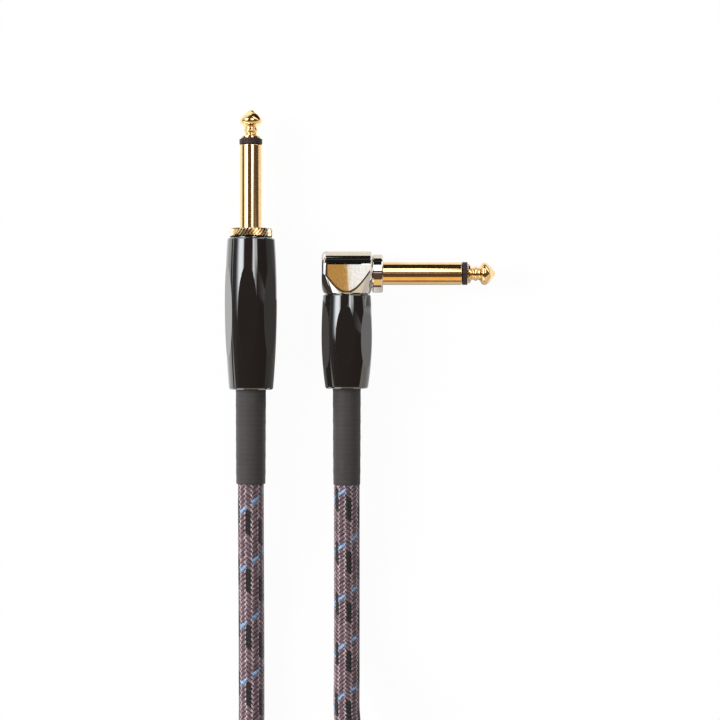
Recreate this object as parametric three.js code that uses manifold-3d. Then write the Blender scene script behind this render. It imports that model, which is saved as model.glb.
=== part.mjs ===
// An instrument cable: a woven cord with a straight 6.35 mm plug on one end and a right-angle plug on the
// other. Millimetres, +Z up. The two plugs lie side by side on the plane Z = 0, the cords run towards -Y and
// the cord's length lies in a round coil. Each plug is drawn along +Y in its own group, with Y = 0 at the
// shoulder that its barrel screws up to, and the group lays it on the plane.

import * as THREE from 'three';
import { mergeVertices } from 'three/addons/utils/BufferGeometryUtils.js';
import Module from 'manifold-3d';

const wasm = await Module();
wasm.setup();

// ---------- driving dimensions ----------

// clearances
const seatGap = 0.2; // between pieces that are pressed, staked or stacked on each other
const runGap = 0.3; // between pieces that slide or turn on each other
const faceGap = 0.3; // between the cord's end faces and what they meet
const past = 1; // how far a cutter reaches past what it cuts

// where the plugs lie: their axes in X, their shoulders in Y
const straightX = -30.28;
const straightShoulderY = 16.64;
const angleX = -3.64;
const angleShoulderY = 1.03;
const straightTurn = -5; // degrees that the barrel's scallops are turned from square
const angleTurn = -3;

// finger: the part that goes into the jack
const fingerRadius = 3.175;
const fingerBore = 2.45;
const fingerEdge = 0.15;
const tubeRadius = 2.15; // insulating tube round the rod
const rodRadius = 1.1;
const ringLength = 1.45; // black insulating ring
const straightSleeveLength = 23.2;
const angleSleeveLength = 21.84;

// tip contact, from its rear flange to its nose
const flangeRadius = 2.75;
const flangeLength = 0.85;
const flangeRim = 0.5; // the rest of the flange's length slopes to the waist
const waistRadius = 1.7;
const waistLength = 2.6;
const waistFillet = 0.25;
const beadRadius = 2.05;
const headRadius = 3.1;
const headRise = 0.55; // length of the slope from the waist to the head
const headLength = 0.75;
const headEdge = 0.35;
const noseRadius = 0.75;
const straightTipLength = 7.9;
const angleTipLength = 7.5;

// threaded neck that each barrel screws on
const neckRadius = 5.2;
const neckLength = 6;

// straight plug's knurled collar
const collarRadius = 5.9;
const collarLength = 2.44;
const collarChamfer = 0.3;
const knurlCount = 36;
const knurlDepth = 0.35;
const knurlSlant = 8; // degrees of twist from face to face
const sleeveSeat = 6.4; // depth to which the finger sleeve is pressed in
const sleeveStop = 2.65; // radius of the bore past the sleeve's seat

// barrels: radii at the front edge, the belly and the rear edge, and the scallops' size and place
const straightBarrel = {
  length: 42.28,
  front: 6.6,
  belly: 7.22,
  bellyAt: 17.4,
  rear: 6.14,
  scallopWidth: 5.2,
  scallopStart: 8.2,
  scallopEnd: 33.5,
};
const angleBarrel = {
  length: 26.39,
  front: 6.57,
  belly: 7.03,
  bellyAt: 11.8,
  rear: 5.9,
  scallopWidth: 5.4,
  scallopStart: 3.2,
  scallopEnd: 21,
};
const scallopCount = 6;
const barrelEdge = 0.35;
const barrelBore = 5.35;
const barrelRearWall = 2.5;
const linerWall = 0.4;

// cable
const cordRadius = 3.6;
const jacketRadius = 3.4; // stripped of its weave, in the clamp
const coreRadius = 1.3;
const wireRadius = 0.45;
const solderRadius = 0.75;
const solderLength = 2;
const solderSlope = 0.6; // length of the bead's rounded ends
const shieldRadius = 0.5;
const shieldReach = 5;
const shieldRise = 0.1; // where it leaves the jacket, over where it meets the lug
const shrinkWall = 0.45;
const shrinkTaper = 0.2; // the shrink sleeve's rear end is this much thinner
const shrinkInside = 9; // length of it inside the barrel
const straightShrinkOut = 26.11;
const angleShrinkOut = 26.65;

// lugs
const lugThickness = 0.5;
const tipLugWidth = 3;
const straightTipLugTail = 7.5; // past the lug's face
const angleTipLugTail = 10.6; // below the finger's axis
const groundLugWidth = 2.4;
const eyeletRadius = 3.3;
const eyeletOverlap = 1; // of the ground lug's tail and its eyelet plate
const angleTipLugHead = 2.1; // radius of its round head
const washerThickness = 0.9;
const rivetLength = 0.9; // of the rod past the tip lug
const clampLength = 4.5;
const clampOpening = 70; // degrees left open in the clamp band
const clampToShrink = 0.6;
const jacketPastClamp = 1.4;

// elbow housing and the bushing in its side
const elbowWidth = 13.8;
const elbowHeight = 11.72;
const elbowDepth = 13;
const elbowCrown = 6.1; // radius of its rounded top
const elbowCrownEnd = 21; // degrees of the crown left out where it meets a flat side, in a crease
const elbowEdge = 0.8;
const elbowFootRadius = 6.45; // of its turned lower end, at the shoulder
const elbowFootSlope = 0.47;
const elbowCavity = 4.5;
const elbowCeiling = 2.3;
const fingerHeight = 5.61; // of the finger's axis over the shoulder
const spigotRadius = 3.95;
const bushingRadius = 5.3;
const bushingLength = 2.9;
const bushingEdge = 0.35;

// coil
const coilLoops = 11 + 16 / 24; // a whole number of steps
const coilLayers = 6;
const coilMeanRadius = 37.2;
const coilPitch = 7.8; // from turn to turn
const coilLift = 7.7; // from layer to layer
const coilStartX = -33.9;
const coilCentreY = -206;
const floorClearance = 0.05;

// fineness
const barrelSteps = 36;
const roundSteps = 32;
const smallRoundSteps = 20;
const wireSteps = 10;
const coilSteps = 24;
const coilSides = 6;
const cordSides = 10;

// ---------- sizes that follow ----------

const barrelRearHole = cordRadius + seatGap + shrinkWall + runGap;
const lugOuter = jacketRadius + seatGap + lugThickness; // the ground lug's outer face, from the cable's axis
const straightLugFront = -neckLength - seatGap; // the stack of lugs behind the straight plug's neck

// ---------- materials ----------

function finish(color, metalness, roughness) {
  return new THREE.MeshStandardMaterial({ color, metalness, roughness });
}

const gold = () => finish(0xd9a441, 1, 0.18);
const nickel = () => finish(0xcfc9c0, 1, 0.12);
const tinned = () => finish(0xb9bcc0, 1, 0.35);
const copper = () => finish(0xb87333, 1, 0.35);
const blackGloss = () => finish(0x0c0b0c, 0, 0.08);
const blackPlastic = () => finish(0x151515, 0, 0.45);
const clearPlastic = () => finish(0xd8d8d2, 0, 0.3);
const shrinkTube = () => finish(0x4a4649, 0, 0.75);
const woven = () => finish(0x6b5860, 0, 0.85);
const innerJacket = () => finish(0x222222, 0, 0.6);
const dielectric = () => finish(0xe6e2d6, 0, 0.5);

// ---------- helpers ----------

const degrees = THREE.MathUtils.degToRad;
const alongX = (geometry) => geometry.rotateZ(-Math.PI / 2); // what stood along +Y now lies along +X

function named(name, geometry, material) {
  const mesh = new THREE.Mesh(geometry, material);
  mesh.name = name;
  return mesh;
}

// An outline of [radius, y] points, counter-clockwise, turned about the Y axis. It closes on the axis or,
// for a hollow piece, on its own first point.
function turned(points, steps = roundSteps) {
  const outline = points.map(([radius, y]) => new THREE.Vector2(radius, y));
  if (outline[0].x > 0) outline.push(outline[0].clone());
  return new THREE.LatheGeometry(outline, steps);
}

function rod(radius, y0, y1, steps = roundSteps) {
  return turned([[0, y0], [radius, y0], [radius, y1], [0, y1]], steps);
}

function tube(radius, bore, y0, y1, steps = roundSteps) {
  return turned([[bore, y0], [radius, y0], [radius, y1], [bore, y1]], steps);
}

// A solid that can be joined and cut.
function solid(geometry) {
  const bare = geometry.clone();
  bare.deleteAttribute('normal');
  bare.deleteAttribute('uv');
  const merged = mergeVertices(bare);
  const corners = merged.index.array;
  const triangles = [];
  for (let i = 0; i < corners.length; i += 3) {
    const [a, b, c] = corners.slice(i, i + 3);
    if (a !== b && b !== c && c !== a) triangles.push(a, b, c);
  }
  return new wasm.Manifold(new wasm.Mesh({
    numProp: 3,
    vertProperties: merged.attributes.position.array,
    triVerts: new Uint32Array(triangles),
  }));
}

function geometryOf(body) {
  const mesh = body.getMesh();
  const geometry = new THREE.BufferGeometry();
  geometry.setAttribute('position', new THREE.BufferAttribute(mesh.vertProperties, mesh.numProp));
  geometry.setIndex(new THREE.BufferAttribute(mesh.triVerts, 1));
  geometry.computeVertexNormals();
  return geometry;
}

// A shape drawn in X and Y, given its thickness along Z from z0 up.
function plate(shape, thickness, z0) {
  return new THREE.ExtrudeGeometry(shape, { depth: thickness, bevelEnabled: false, curveSegments: 12 })
    .translate(0, 0, z0);
}

// What was drawn as a side view, with the plug's Y to the right and its Z upwards, set up as one.
function sideways(geometry) {
  return geometry.applyMatrix4(new THREE.Matrix4().makeBasis(
    new THREE.Vector3(0, 1, 0), new THREE.Vector3(0, 0, 1), new THREE.Vector3(1, 0, 0)));
}

function rectangle(x0, y0, x1, y1) {
  return new THREE.Shape([[x0, y0], [x1, y0], [x1, y1], [x0, y1]].map((p) => new THREE.Vector2(...p)));
}

function circle(radius) {
  return new THREE.Shape().absarc(0, 0, radius, 0, 2 * Math.PI, false);
}

// ---------- finger ----------

// The tip contact, one piece with the rod behind it. Y = 0 is the flange's rear face, and the rod reaches
// back to rodEnd.
function tipContact(length, rodEnd) {
  const waistEnd = flangeLength + waistLength;
  const headStart = waistEnd + headRise;
  const headEnd = headStart + headLength;
  const points = [
    [0, rodEnd], [rodRadius, rodEnd], [rodRadius, 0],
    [flangeRadius, 0], [flangeRadius, flangeRim], [waistRadius + waistFillet, flangeLength],
  ];
  const waistSteps = 6;
  for (let i = 1; i < waistSteps; i++) {
    const share = i / waistSteps;
    const bead = (beadRadius - waistRadius) * Math.sin(Math.PI * share) ** 4;
    points.push([waistRadius + bead, flangeLength + waistLength * share]);
  }
  points.push([waistRadius, waistEnd], [headRadius - waistFillet, waistEnd + headRise / 3]);
  points.push([headRadius, headStart], [headRadius, headEnd], [headRadius - headEdge, headEnd + headEdge]);
  points.push([1.5 * noseRadius, length - noseRadius], [0.8 * noseRadius, length - noseRadius / 5]);
  points.push([0, length]);
  return turned(points, smallRoundSteps);
}

// The black ring in front and, in one piece with it, the tube round the rod. Y = 0 is the ring's rear face.
function tipInsulator(tubeEnd) {
  const bore = rodRadius + seatGap;
  return turned([
    [bore, tubeEnd], [tubeRadius, tubeEnd], [tubeRadius, 0],
    [fingerRadius, 0], [fingerRadius, ringLength], [bore, ringLength],
  ], smallRoundSteps);
}

// A finger whose Y = 0 is the face that it stands out of. Behind that face its sleeve, its insulating tube
// and its rod end at rears.sleeve, rears.tube and rears.rod.
function finger(prefix, sleeveLength, tipLength, rears) {
  const group = new THREE.Group();
  const sleeve = turned([
    [fingerBore, rears.sleeve], [fingerRadius, rears.sleeve], [fingerRadius, sleeveLength - fingerEdge],
    [fingerRadius - fingerEdge, sleeveLength], [fingerBore, sleeveLength],
  ]);
  group.add(named(`${prefix}_finger_sleeve`, sleeve, gold()));

  const ringStart = sleeveLength + seatGap;
  const insulator = named(`${prefix}_tip_insulator`, tipInsulator(rears.tube - ringStart), blackPlastic());
  insulator.position.y = ringStart;
  group.add(insulator);

  const tipStart = ringStart + ringLength + seatGap;
  const tip = named(`${prefix}_tip`, tipContact(tipLength, rears.rod - tipStart), gold());
  tip.position.y = tipStart;
  group.add(tip);
  return group;
}

// ---------- barrels ----------

// The outside swells in a parabola to the belly and falls in another to the rear.
function barrelRadius(size, along) {
  const ahead = along < size.bellyAt;
  const end = ahead ? size.front : size.rear;
  const span = ahead ? size.bellyAt : size.length - size.bellyAt;
  return size.belly - (size.belly - end) * ((along - size.bellyAt) / span) ** 2;
}

// The cutter of the scallop that faces +Z. Its floor is a shallow arch that meets the barrel's outside at
// both ends of the scallop, and lies so deep at the belly that the cut is scallopWidth wide there.
function scallopCutter(size) {
  const { scallopStart: start, scallopEnd: end } = size;
  const share = (along) => (along - start) / (end - start);
  const chord = (s) => THREE.MathUtils.lerp(barrelRadius(size, start), barrelRadius(size, end), s);
  const arch = (s) => 4 * s * (1 - s);
  const bellyShare = share(size.bellyAt);
  const bellyFloor = Math.sqrt(size.belly ** 2 - (size.scallopWidth / 2) ** 2);
  const sink = (chord(bellyShare) - bellyFloor) / arch(bellyShare);
  const outline = new THREE.Shape();
  outline.moveTo(-start, size.belly + past);
  const steps = 8;
  for (let i = 0; i <= steps; i++) {
    const s = i / steps;
    outline.lineTo(-start - (end - start) * s, chord(s) - sink * arch(s));
  }
  outline.lineTo(-end, size.belly + past);
  const width = 2 * size.scallopWidth;
  return sideways(plate(outline, width, -width / 2));
}

// A hollow barrel from the shoulder back to -length. It has a bore for the threaded neck, a wider stretch
// for the liner, and a rear wall with the hole that the cable comes out of.
function barrel(size, turn) {
  const threadBore = neckRadius + runGap;
  const threadEnd = neckLength + runGap;
  const outline = [
    [barrelRearHole, -size.length],
    [size.rear - barrelEdge, -size.length],
  ];
  const outerSteps = 12;
  const straightRun = size.length - runGap - 2 * barrelEdge;
  for (let i = 0; i <= outerSteps; i++) {
    const along = size.length - barrelEdge - straightRun * (i / outerSteps);
    outline.push([barrelRadius(size, along), -along]);
  }
  outline.push(
    [size.front - barrelEdge, -runGap],
    [threadBore, -runGap],
    [threadBore, -threadEnd],
    [barrelBore, -threadEnd - seatGap],
    [barrelBore, barrelRearWall - size.length],
    [barrelRearHole, barrelRearWall - size.length],
  );
  let body = solid(turned(outline, barrelSteps));
  for (let i = 0; i < scallopCount; i++) {
    const cutter = scallopCutter(size).rotateY(degrees(turn + (360 / scallopCount) * i));
    body = body.subtract(solid(cutter));
  }
  return geometryOf(body);
}

function liner(size) {
  const outer = barrelBore - runGap;
  const front = -neckLength - 2 * runGap;
  return tube(outer, outer - linerWall, barrelRearWall + seatGap - size.length, front);
}

// ---------- the cable's end inside a plug ----------

// Places along Y of the cable's prepared end, from the shrink sleeve forward. tailEnd is where the tip
// lug's tail ends.
function cableStages(size, shrinkOut, tailEnd) {
  const shrinkStart = shrinkInside - size.length;
  const clampRear = shrinkStart + clampToShrink;
  const jacketFront = clampRear + clampLength + jacketPastClamp;
  return {
    shrinkEnd: -size.length - shrinkOut,
    shrinkStart,
    clampRear,
    jacketFront,
    coreFront: tailEnd - solderLength,
    wireFront: tailEnd + solderLength,
  };
}

function shrinkSleeve(stages) {
  const bore = cordRadius + seatGap;
  const outer = bore + shrinkWall;
  return turned([
    [bore, stages.shrinkEnd], [outer - shrinkTaper, stages.shrinkEnd],
    [outer, stages.shrinkStart], [bore, stages.shrinkStart],
  ]);
}

function cableEnd(stages) {
  return turned([
    [0, stages.shrinkEnd], [cordRadius, stages.shrinkEnd], [cordRadius, stages.shrinkStart],
    [jacketRadius, stages.shrinkStart], [jacketRadius, stages.jacketFront], [0, stages.jacketFront],
  ]);
}

// The centre wire, with the solder bead at its front that joins it to the tip lug.
function centreWire(y0, y1) {
  const beadStart = y1 - solderLength;
  return turned([
    [0, y0], [wireRadius, y0], [wireRadius, beadStart],
    [solderRadius, beadStart + solderSlope], [solderRadius, y1 - solderSlope], [0, y1],
  ], wireSteps);
}

// The twisted shield, from the jacket's front face down to the ground lug's tail below it.
function shieldTail(stages) {
  const front = stages.jacketFront + seatGap;
  const low = shieldRadius - jacketRadius;
  const high = low + shieldRise;
  const path = new THREE.CatmullRomCurve3([
    new THREE.Vector3(0, front, high),
    new THREE.Vector3(0, front + 0.25 * shieldReach, high),
    new THREE.Vector3(0, front + 0.6 * shieldReach, low),
    new THREE.Vector3(0, front + shieldReach, low),
  ]);
  return new THREE.ExtrudeGeometry(circle(shieldRadius), { steps: 8, extrudePath: path, curveSegments: 4 });
}

// The ground lug below the cable: a tail with the clamp band standing on its rear end. The tail's top end
// is left for the plug's own eyelet.
function groundLugTail(stages, top) {
  const inner = jacketRadius + seatGap;
  const open = degrees(clampOpening / 2);
  const band = new THREE.Shape();
  band.absarc(0, 0, lugOuter, Math.PI / 2 + open, Math.PI / 2 - open, false);
  band.absarc(0, 0, inner, Math.PI / 2 - open, Math.PI / 2 + open, true);
  const clamp = plate(band, clampLength, 0)
    .rotateX(Math.PI / 2)
    .translate(0, stages.clampRear + clampLength, 0);
  const halfWidth = groundLugWidth / 2;
  const tail = plate(rectangle(-halfWidth, stages.clampRear, halfWidth, top), lugThickness, -lugOuter);
  return solid(clamp).add(solid(tail));
}

// What both plugs hold of the cable, with the ground lug's side down. wireHeight is the height of the
// centre wire over the cable's axis.
function cableInside(prefix, stages, wireHeight) {
  const group = new THREE.Group();
  const coreRear = stages.jacketFront + seatGap;
  const core = rod(coreRadius, coreRear, stages.coreFront, smallRoundSteps).translate(0, 0, wireHeight);
  const wire = centreWire(stages.coreFront + seatGap, stages.wireFront).translate(0, 0, wireHeight);
  group.add(
    named(`${prefix}_shrink_sleeve`, shrinkSleeve(stages), shrinkTube()),
    named(`${prefix}_cable_end`, cableEnd(stages), innerJacket()),
    named(`${prefix}_core`, core, dielectric()),
    named(`${prefix}_centre_wire`, wire, copper()),
    named(`${prefix}_shield_tail`, shieldTail(stages), copper()),
  );
  return group;
}

// ---------- straight plug ----------

// The knurled collar: a toothed ring in front of the shoulder, its teeth slanted by a twist, and the
// threaded neck behind it.
function knurledCollar() {
  const ring = new THREE.Shape();
  for (let i = 0; i < 2 * knurlCount; i++) {
    const radius = i % 2 ? collarRadius - knurlDepth : collarRadius;
    const angle = (Math.PI * i) / knurlCount;
    ring[i ? 'lineTo' : 'moveTo'](radius * Math.cos(angle), radius * Math.sin(angle));
  }
  const teeth = new THREE.ExtrudeGeometry(ring, {
    depth: collarLength - 2 * collarChamfer,
    steps: 2,
    bevelThickness: collarChamfer,
    bevelSize: collarChamfer,
    bevelOffset: -collarChamfer,
    bevelSegments: 1,
  }).translate(0, 0, collarChamfer);
  const corner = new THREE.Vector3();
  const places = teeth.attributes.position;
  for (let i = 0; i < places.count; i++) {
    corner.fromBufferAttribute(places, i);
    corner.applyAxisAngle(new THREE.Vector3(0, 0, 1), degrees(knurlSlant) * (corner.z / collarLength));
    places.setXYZ(i, ...corner);
  }
  teeth.rotateX(-Math.PI / 2);
  const seat = collarLength - sleeveSeat;
  return geometryOf(
    solid(teeth)
      .add(solid(rod(neckRadius, -neckLength, collarLength / 2)))
      .subtract(solid(rod(fingerRadius + seatGap, seat - seatGap, collarLength + past)))
      .subtract(solid(rod(sleeveStop, -neckLength - past, collarLength))),
  );
}

// The tip lug: a square plate on the rod, bent back into a tail that runs over the rod's end.
function straightTipLug(front) {
  const low = rodRadius + seatGap;
  const rear = front - lugThickness;
  const face = rod(low + lugThickness, rear, front, smallRoundSteps);
  const side = new THREE.Shape();
  side.moveTo(front, low).lineTo(front, low + lugThickness);
  side.lineTo(rear - straightTipLugTail, low + lugThickness).lineTo(rear - straightTipLugTail, low);
  const tail = sideways(plate(side, tipLugWidth, -tipLugWidth / 2));
  const hole = rod(low, rear - past, front + past, smallRoundSteps);
  return geometryOf(solid(face).add(solid(tail)).subtract(solid(hole)));
}

function straightPlug() {
  const plug = new THREE.Group();
  const lugFront = straightLugFront;
  const washerFront = lugFront - lugThickness - seatGap;
  const tipLugFront = washerFront - washerThickness - seatGap;
  const tailEnd = tipLugFront - lugThickness - straightTipLugTail;
  const stages = cableStages(straightBarrel, straightShrinkOut, tailEnd);

  const tip = finger('straight', straightSleeveLength, straightTipLength, {
    sleeve: -sleeveSeat,
    tube: lugFront - lugThickness - collarLength,
    rod: tipLugFront - lugThickness - rivetLength - collarLength,
  });
  tip.position.y = collarLength;
  plug.add(tip);
  plug.add(named('straight_knurled_collar', knurledCollar(), gold()));

  const eyelet = tube(lugOuter, tubeRadius + seatGap, lugFront - lugThickness, lugFront);
  const groundLug = groundLugTail(stages, lugFront).add(solid(eyelet));
  plug.add(named('straight_ground_lug', geometryOf(groundLug), tinned()));
  const washer = tube(eyeletRadius, rodRadius + seatGap, washerFront - washerThickness, washerFront);
  plug.add(named('straight_rear_washer', washer, blackPlastic()));
  plug.add(named('straight_tip_lug', straightTipLug(tipLugFront), tinned()));

  plug.add(cableInside('straight', stages, rodRadius - solderRadius));
  plug.add(named('straight_barrel', barrel(straightBarrel, straightTurn), blackGloss()));
  plug.add(named('straight_liner', liner(straightBarrel), clearPlastic()));
  return { plug, end: stages.shrinkEnd };
}

// ---------- angle plug ----------

// The elbow: a block with two flat sides, a rounded top that meets them in creases, and a lower end turned
// to a cone, on a threaded neck. A cavity for the cable comes up from below and meets the bore for the
// finger's bushing.
function elbowHousing() {
  const half = elbowDepth / 2;
  const crease = degrees(elbowCrownEnd);
  const crownCentre = half - elbowCrown * Math.cos(crease);
  const crownLevel = elbowHeight - elbowCrown;
  const profile = new THREE.Shape();
  profile.moveTo(-half, 0).lineTo(half, 0);
  profile.absarc(crownCentre, crownLevel, elbowCrown, crease, Math.PI / 2, false);
  profile.absarc(-crownCentre, crownLevel, elbowCrown, Math.PI / 2, Math.PI - crease, false);
  const block = new THREE.ExtrudeGeometry(profile, {
    depth: elbowWidth - 2 * elbowEdge,
    bevelThickness: elbowEdge,
    bevelSize: elbowEdge,
    bevelOffset: -elbowEdge,
    bevelSegments: 3,
    curveSegments: 8,
  }).translate(0, 0, elbowEdge - elbowWidth / 2).rotateY(Math.PI / 2);
  const coneTop = elbowFootRadius + elbowFootSlope * elbowHeight;
  const cone = turned([[0, 0], [elbowFootRadius, 0], [coneTop, elbowHeight], [0, elbowHeight]], barrelSteps);
  const bushingBore = alongX(rod(spigotRadius + seatGap, 0, elbowWidth)).translate(0, fingerHeight, 0);
  const cavity = rod(elbowCavity, -neckLength - past, elbowHeight - elbowCeiling);
  return geometryOf(
    solid(block)
      .intersect(solid(cone))
      .add(solid(rod(neckRadius, -neckLength, elbowCeiling)))
      .subtract(solid(cavity))
      .subtract(solid(bushingBore)),
  );
}

// The bushing that carries the finger: a collar outside the elbow and the spigot inside it. Y = 0 is the
// collar's outer face.
function bushing(spigotEnd) {
  const bore = fingerRadius + seatGap;
  return turned([
    [bore, spigotEnd], [spigotRadius, spigotEnd], [spigotRadius, -bushingLength],
    [bushingRadius - bushingEdge, -bushingLength], [bushingRadius, bushingEdge - bushingLength],
    [bushingRadius, -bushingEdge], [bushingRadius - bushingEdge, 0], [bore, 0],
  ]);
}

// A flat lug with a round head at the finger's height, drawn face on.
function lugFace(headRadius, halfWidth, holeRadius, tailEnd) {
  const corner = Math.acos(halfWidth / headRadius);
  const face = new THREE.Shape();
  face.moveTo(-halfWidth, tailEnd).lineTo(halfWidth, tailEnd);
  face.absarc(0, fingerHeight, headRadius, -corner, Math.PI + corner, false);
  face.holes.push(new THREE.Path().absarc(0, fingerHeight, holeRadius, 0, 2 * Math.PI, true));
  return face;
}

function anglePlug() {
  const plug = new THREE.Group();
  const fingerFace = elbowWidth / 2 + seatGap + bushingLength;
  const spigotEnd = lugOuter + seatGap;
  const lugInner = lugOuter - lugThickness;
  const washerEnd = lugInner - seatGap - washerThickness;
  const tipLugInner = washerEnd - seatGap - lugThickness;
  const tailEnd = fingerHeight - angleTipLugTail;
  const stages = cableStages(angleBarrel, angleShrinkOut, tailEnd);

  const fingerGroup = finger('angle', angleSleeveLength, angleTipLength, {
    sleeve: spigotEnd - fingerFace,
    tube: lugInner - fingerFace,
    rod: tipLugInner - rivetLength - fingerFace,
  });
  fingerGroup.position.set(fingerFace, fingerHeight, 0);
  fingerGroup.rotation.z = -Math.PI / 2;
  fingerGroup.add(named('angle_bushing', bushing(spigotEnd - fingerFace), nickel()));
  plug.add(fingerGroup, named('angle_elbow', elbowHousing(), nickel()));

  const washer = alongX(tube(eyeletRadius, rodRadius + seatGap, washerEnd, washerEnd + washerThickness));
  washer.translate(0, fingerHeight, 0);
  plug.add(named('angle_rear_washer', washer, blackPlastic()));
  const tipLug = plate(
    lugFace(angleTipLugHead, tipLugWidth / 2, rodRadius + seatGap, tailEnd),
    lugThickness, tipLugInner).rotateY(Math.PI / 2);
  plug.add(named('angle_tip_lug', tipLug, tinned()));

  // the cable's end, turned so that the ground lug's side faces the finger
  const inside = cableInside('angle', stages, solderRadius + seatGap - tipLugInner);
  const eyelet = plate(
    lugFace(eyeletRadius, groundLugWidth / 2, tubeRadius + seatGap, 0), lugThickness, -lugOuter);
  const groundLug = groundLugTail(stages, eyeletOverlap).add(solid(eyelet));
  inside.add(named('angle_ground_lug', geometryOf(groundLug), tinned()));
  inside.rotation.y = -Math.PI / 2;
  plug.add(inside);

  plug.add(named('angle_barrel', barrel(angleBarrel, angleTurn), blackGloss()));
  plug.add(named('angle_liner', liner(angleBarrel), clearPlastic()));
  return { plug, end: stages.shrinkEnd };
}

// ---------- cord ----------

const cordHeight = cordRadius + floorClearance;
const coilRunOut = 2 * cordRadius; // straight at each end of the coil
const coilLoopsPerLayer = coilLoops / coilLayers;
const coilOuter = coilMeanRadius + (coilPitch * coilLoopsPerLayer) / 2;
const coilInner = coilMeanRadius - (coilPitch * coilLoopsPerLayer) / 2;
const coilCentreX = coilStartX + coilOuter;

// The coil's centre line after so many loops. It starts at the left going towards -Y, spirals in and out
// again at a steady rate, and climbs a layer in the half turn where the spiral reverses.
function coilPoint(loops) {
  const layer = Math.min(Math.floor(loops / coilLoopsPerLayer), coilLayers - 1);
  const inLayer = loops - layer * coilLoopsPerLayer;
  const radius = layer % 2 ? coilInner + coilPitch * inLayer : coilOuter - coilPitch * inLayer;
  const angle = Math.PI + 2 * Math.PI * loops;
  let height = cordHeight;
  for (let k = 1; k < coilLayers; k++) {
    const reversal = k * coilLoopsPerLayer;
    height += coilLift * THREE.MathUtils.smoothstep(loops, reversal - 0.25, reversal + 0.25);
  }
  return new THREE.Vector3(
    coilCentreX + radius * Math.cos(angle), coilCentreY + radius * Math.sin(angle), height);
}

// The coil's points, with a straight run of one diameter at each end.
function coilRoute() {
  const points = [];
  const steps = Math.round(coilLoops * coilSteps);
  for (let i = 0; i <= steps; i++) points.push(coilPoint(i / coilSteps));
  points.unshift(points[0].clone().add(new THREE.Vector3(0, coilRunOut, 0)));
  const wound = (coilLoops * 2 + 1) * Math.PI;
  const heading = new THREE.Vector3(-Math.sin(wound), Math.cos(wound), 0);
  points.push(points.at(-1).clone().addScaledVector(heading, coilRunOut));
  return points;
}

// One unbroken tube through the points, with a flat face square to its run at each end.
function tubeThrough(points, radius, sides) {
  const up = new THREE.Vector3(0, 0, 1);
  const places = [];
  points.forEach((point, i) => {
    const ahead = points[Math.min(i + 1, points.length - 1)];
    const behind = points[Math.max(i - 1, 0)];
    const run = ahead.clone().sub(behind).normalize();
    const across = run.clone().cross(up).normalize();
    const over = across.clone().cross(run);
    for (let k = 0; k < sides; k++) {
      const angle = (2 * Math.PI * (k + 0.5)) / sides; // with an edge straight down
      const rim = point.clone()
        .addScaledVector(across, radius * Math.cos(angle))
        .addScaledVector(over, radius * Math.sin(angle));
      places.push(...rim);
    }
  });
  const triangles = [];
  for (let i = 0; i < points.length - 1; i++) {
    for (let k = 0; k < sides; k++) {
      const next = (k + 1) % sides;
      const [a, b, c, d] = [i * sides + k, i * sides + next, (i + 1) * sides + next, (i + 1) * sides + k];
      triangles.push(a, c, b, a, d, c);
    }
  }
  const last = (points.length - 1) * sides;
  for (let k = 1; k < sides - 1; k++) {
    triangles.push(0, k, k + 1, last, last + k + 1, last + k);
  }
  const geometry = new THREE.BufferGeometry();
  geometry.setAttribute('position', new THREE.Float32BufferAttribute(places, 3));
  geometry.setIndex(triangles);
  geometry.computeVertexNormals();
  return geometry;
}

function leastGap(points, radius) {
  let least = Infinity;
  const apart = coilSteps / 2;
  for (let i = 0; i < points.length; i++) {
    for (let j = i + apart; j < points.length; j++) {
      least = Math.min(least, points[i].distanceTo(points[j]));
    }
  }
  return least - 2 * radius;
}

function stretch(points) {
  const path = new THREE.CatmullRomCurve3(points.map((p) => new THREE.Vector3(...p)), false, 'centripetal');
  const steps = Math.ceil(path.getLength() / (5 * cordRadius));
  const geometry = new THREE.ExtrudeGeometry(circle(cordRadius), {
    steps,
    extrudePath: path,
    curveSegments: cordSides / 2,
  });
  return { geometry, length: path.getLength() };
}

// ---------- the whole cable ----------

// A plug lies on its barrel, so its axis is as high as the barrel reaches below it.
function restHeight(plug, barrelName) {
  const { geometry } = plug.getObjectByName(barrelName);
  geometry.computeBoundingBox();
  return -geometry.boundingBox.min.z;
}

const cable = new THREE.Group();

const straight = straightPlug();
const straightHeight = restHeight(straight.plug, 'straight_barrel');
straight.plug.position.set(straightX, straightShoulderY, straightHeight);
cable.add(straight.plug);

const angle = anglePlug();
const angleHeight = restHeight(angle.plug, 'angle_barrel');
angle.plug.position.set(angleX, angleShoulderY, angleHeight);
cable.add(angle.plug);

const coilPoints = coilRoute();
cable.add(named('cord_coil', tubeThrough(coilPoints, cordRadius, coilSides), woven()));
console.log(`least gap between the coil's turns: ${leastGap(coilPoints, cordRadius).toFixed(2)} mm`);

// The free stretches: straight out of each plug, down to the plane, along it, and one up onto the coil.
const straightStretch = stretch([
  [straightX, straightShoulderY + straight.end - faceGap, straightHeight],
  [straightX, -59, 7.0],
  [straightX, -66, 6.7],
  [straightX, -74, 6.0],
  [straightX, -83, 5.0],
  [straightX, -93, 4.2],
  [straightX, -104, 3.8],
  [straightX, -117, cordHeight],
  [-30.5, -130, cordHeight],
  [-31.2, -145, cordHeight],
  [-32.3, -160, cordHeight],
  [-33.3, -175, cordHeight],
  [-33.8, -187, cordHeight],
  [coilStartX, coilCentreY + coilRunOut + faceGap, cordHeight],
]);
cable.add(named('cord_straight_end', straightStretch.geometry, woven()));

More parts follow.
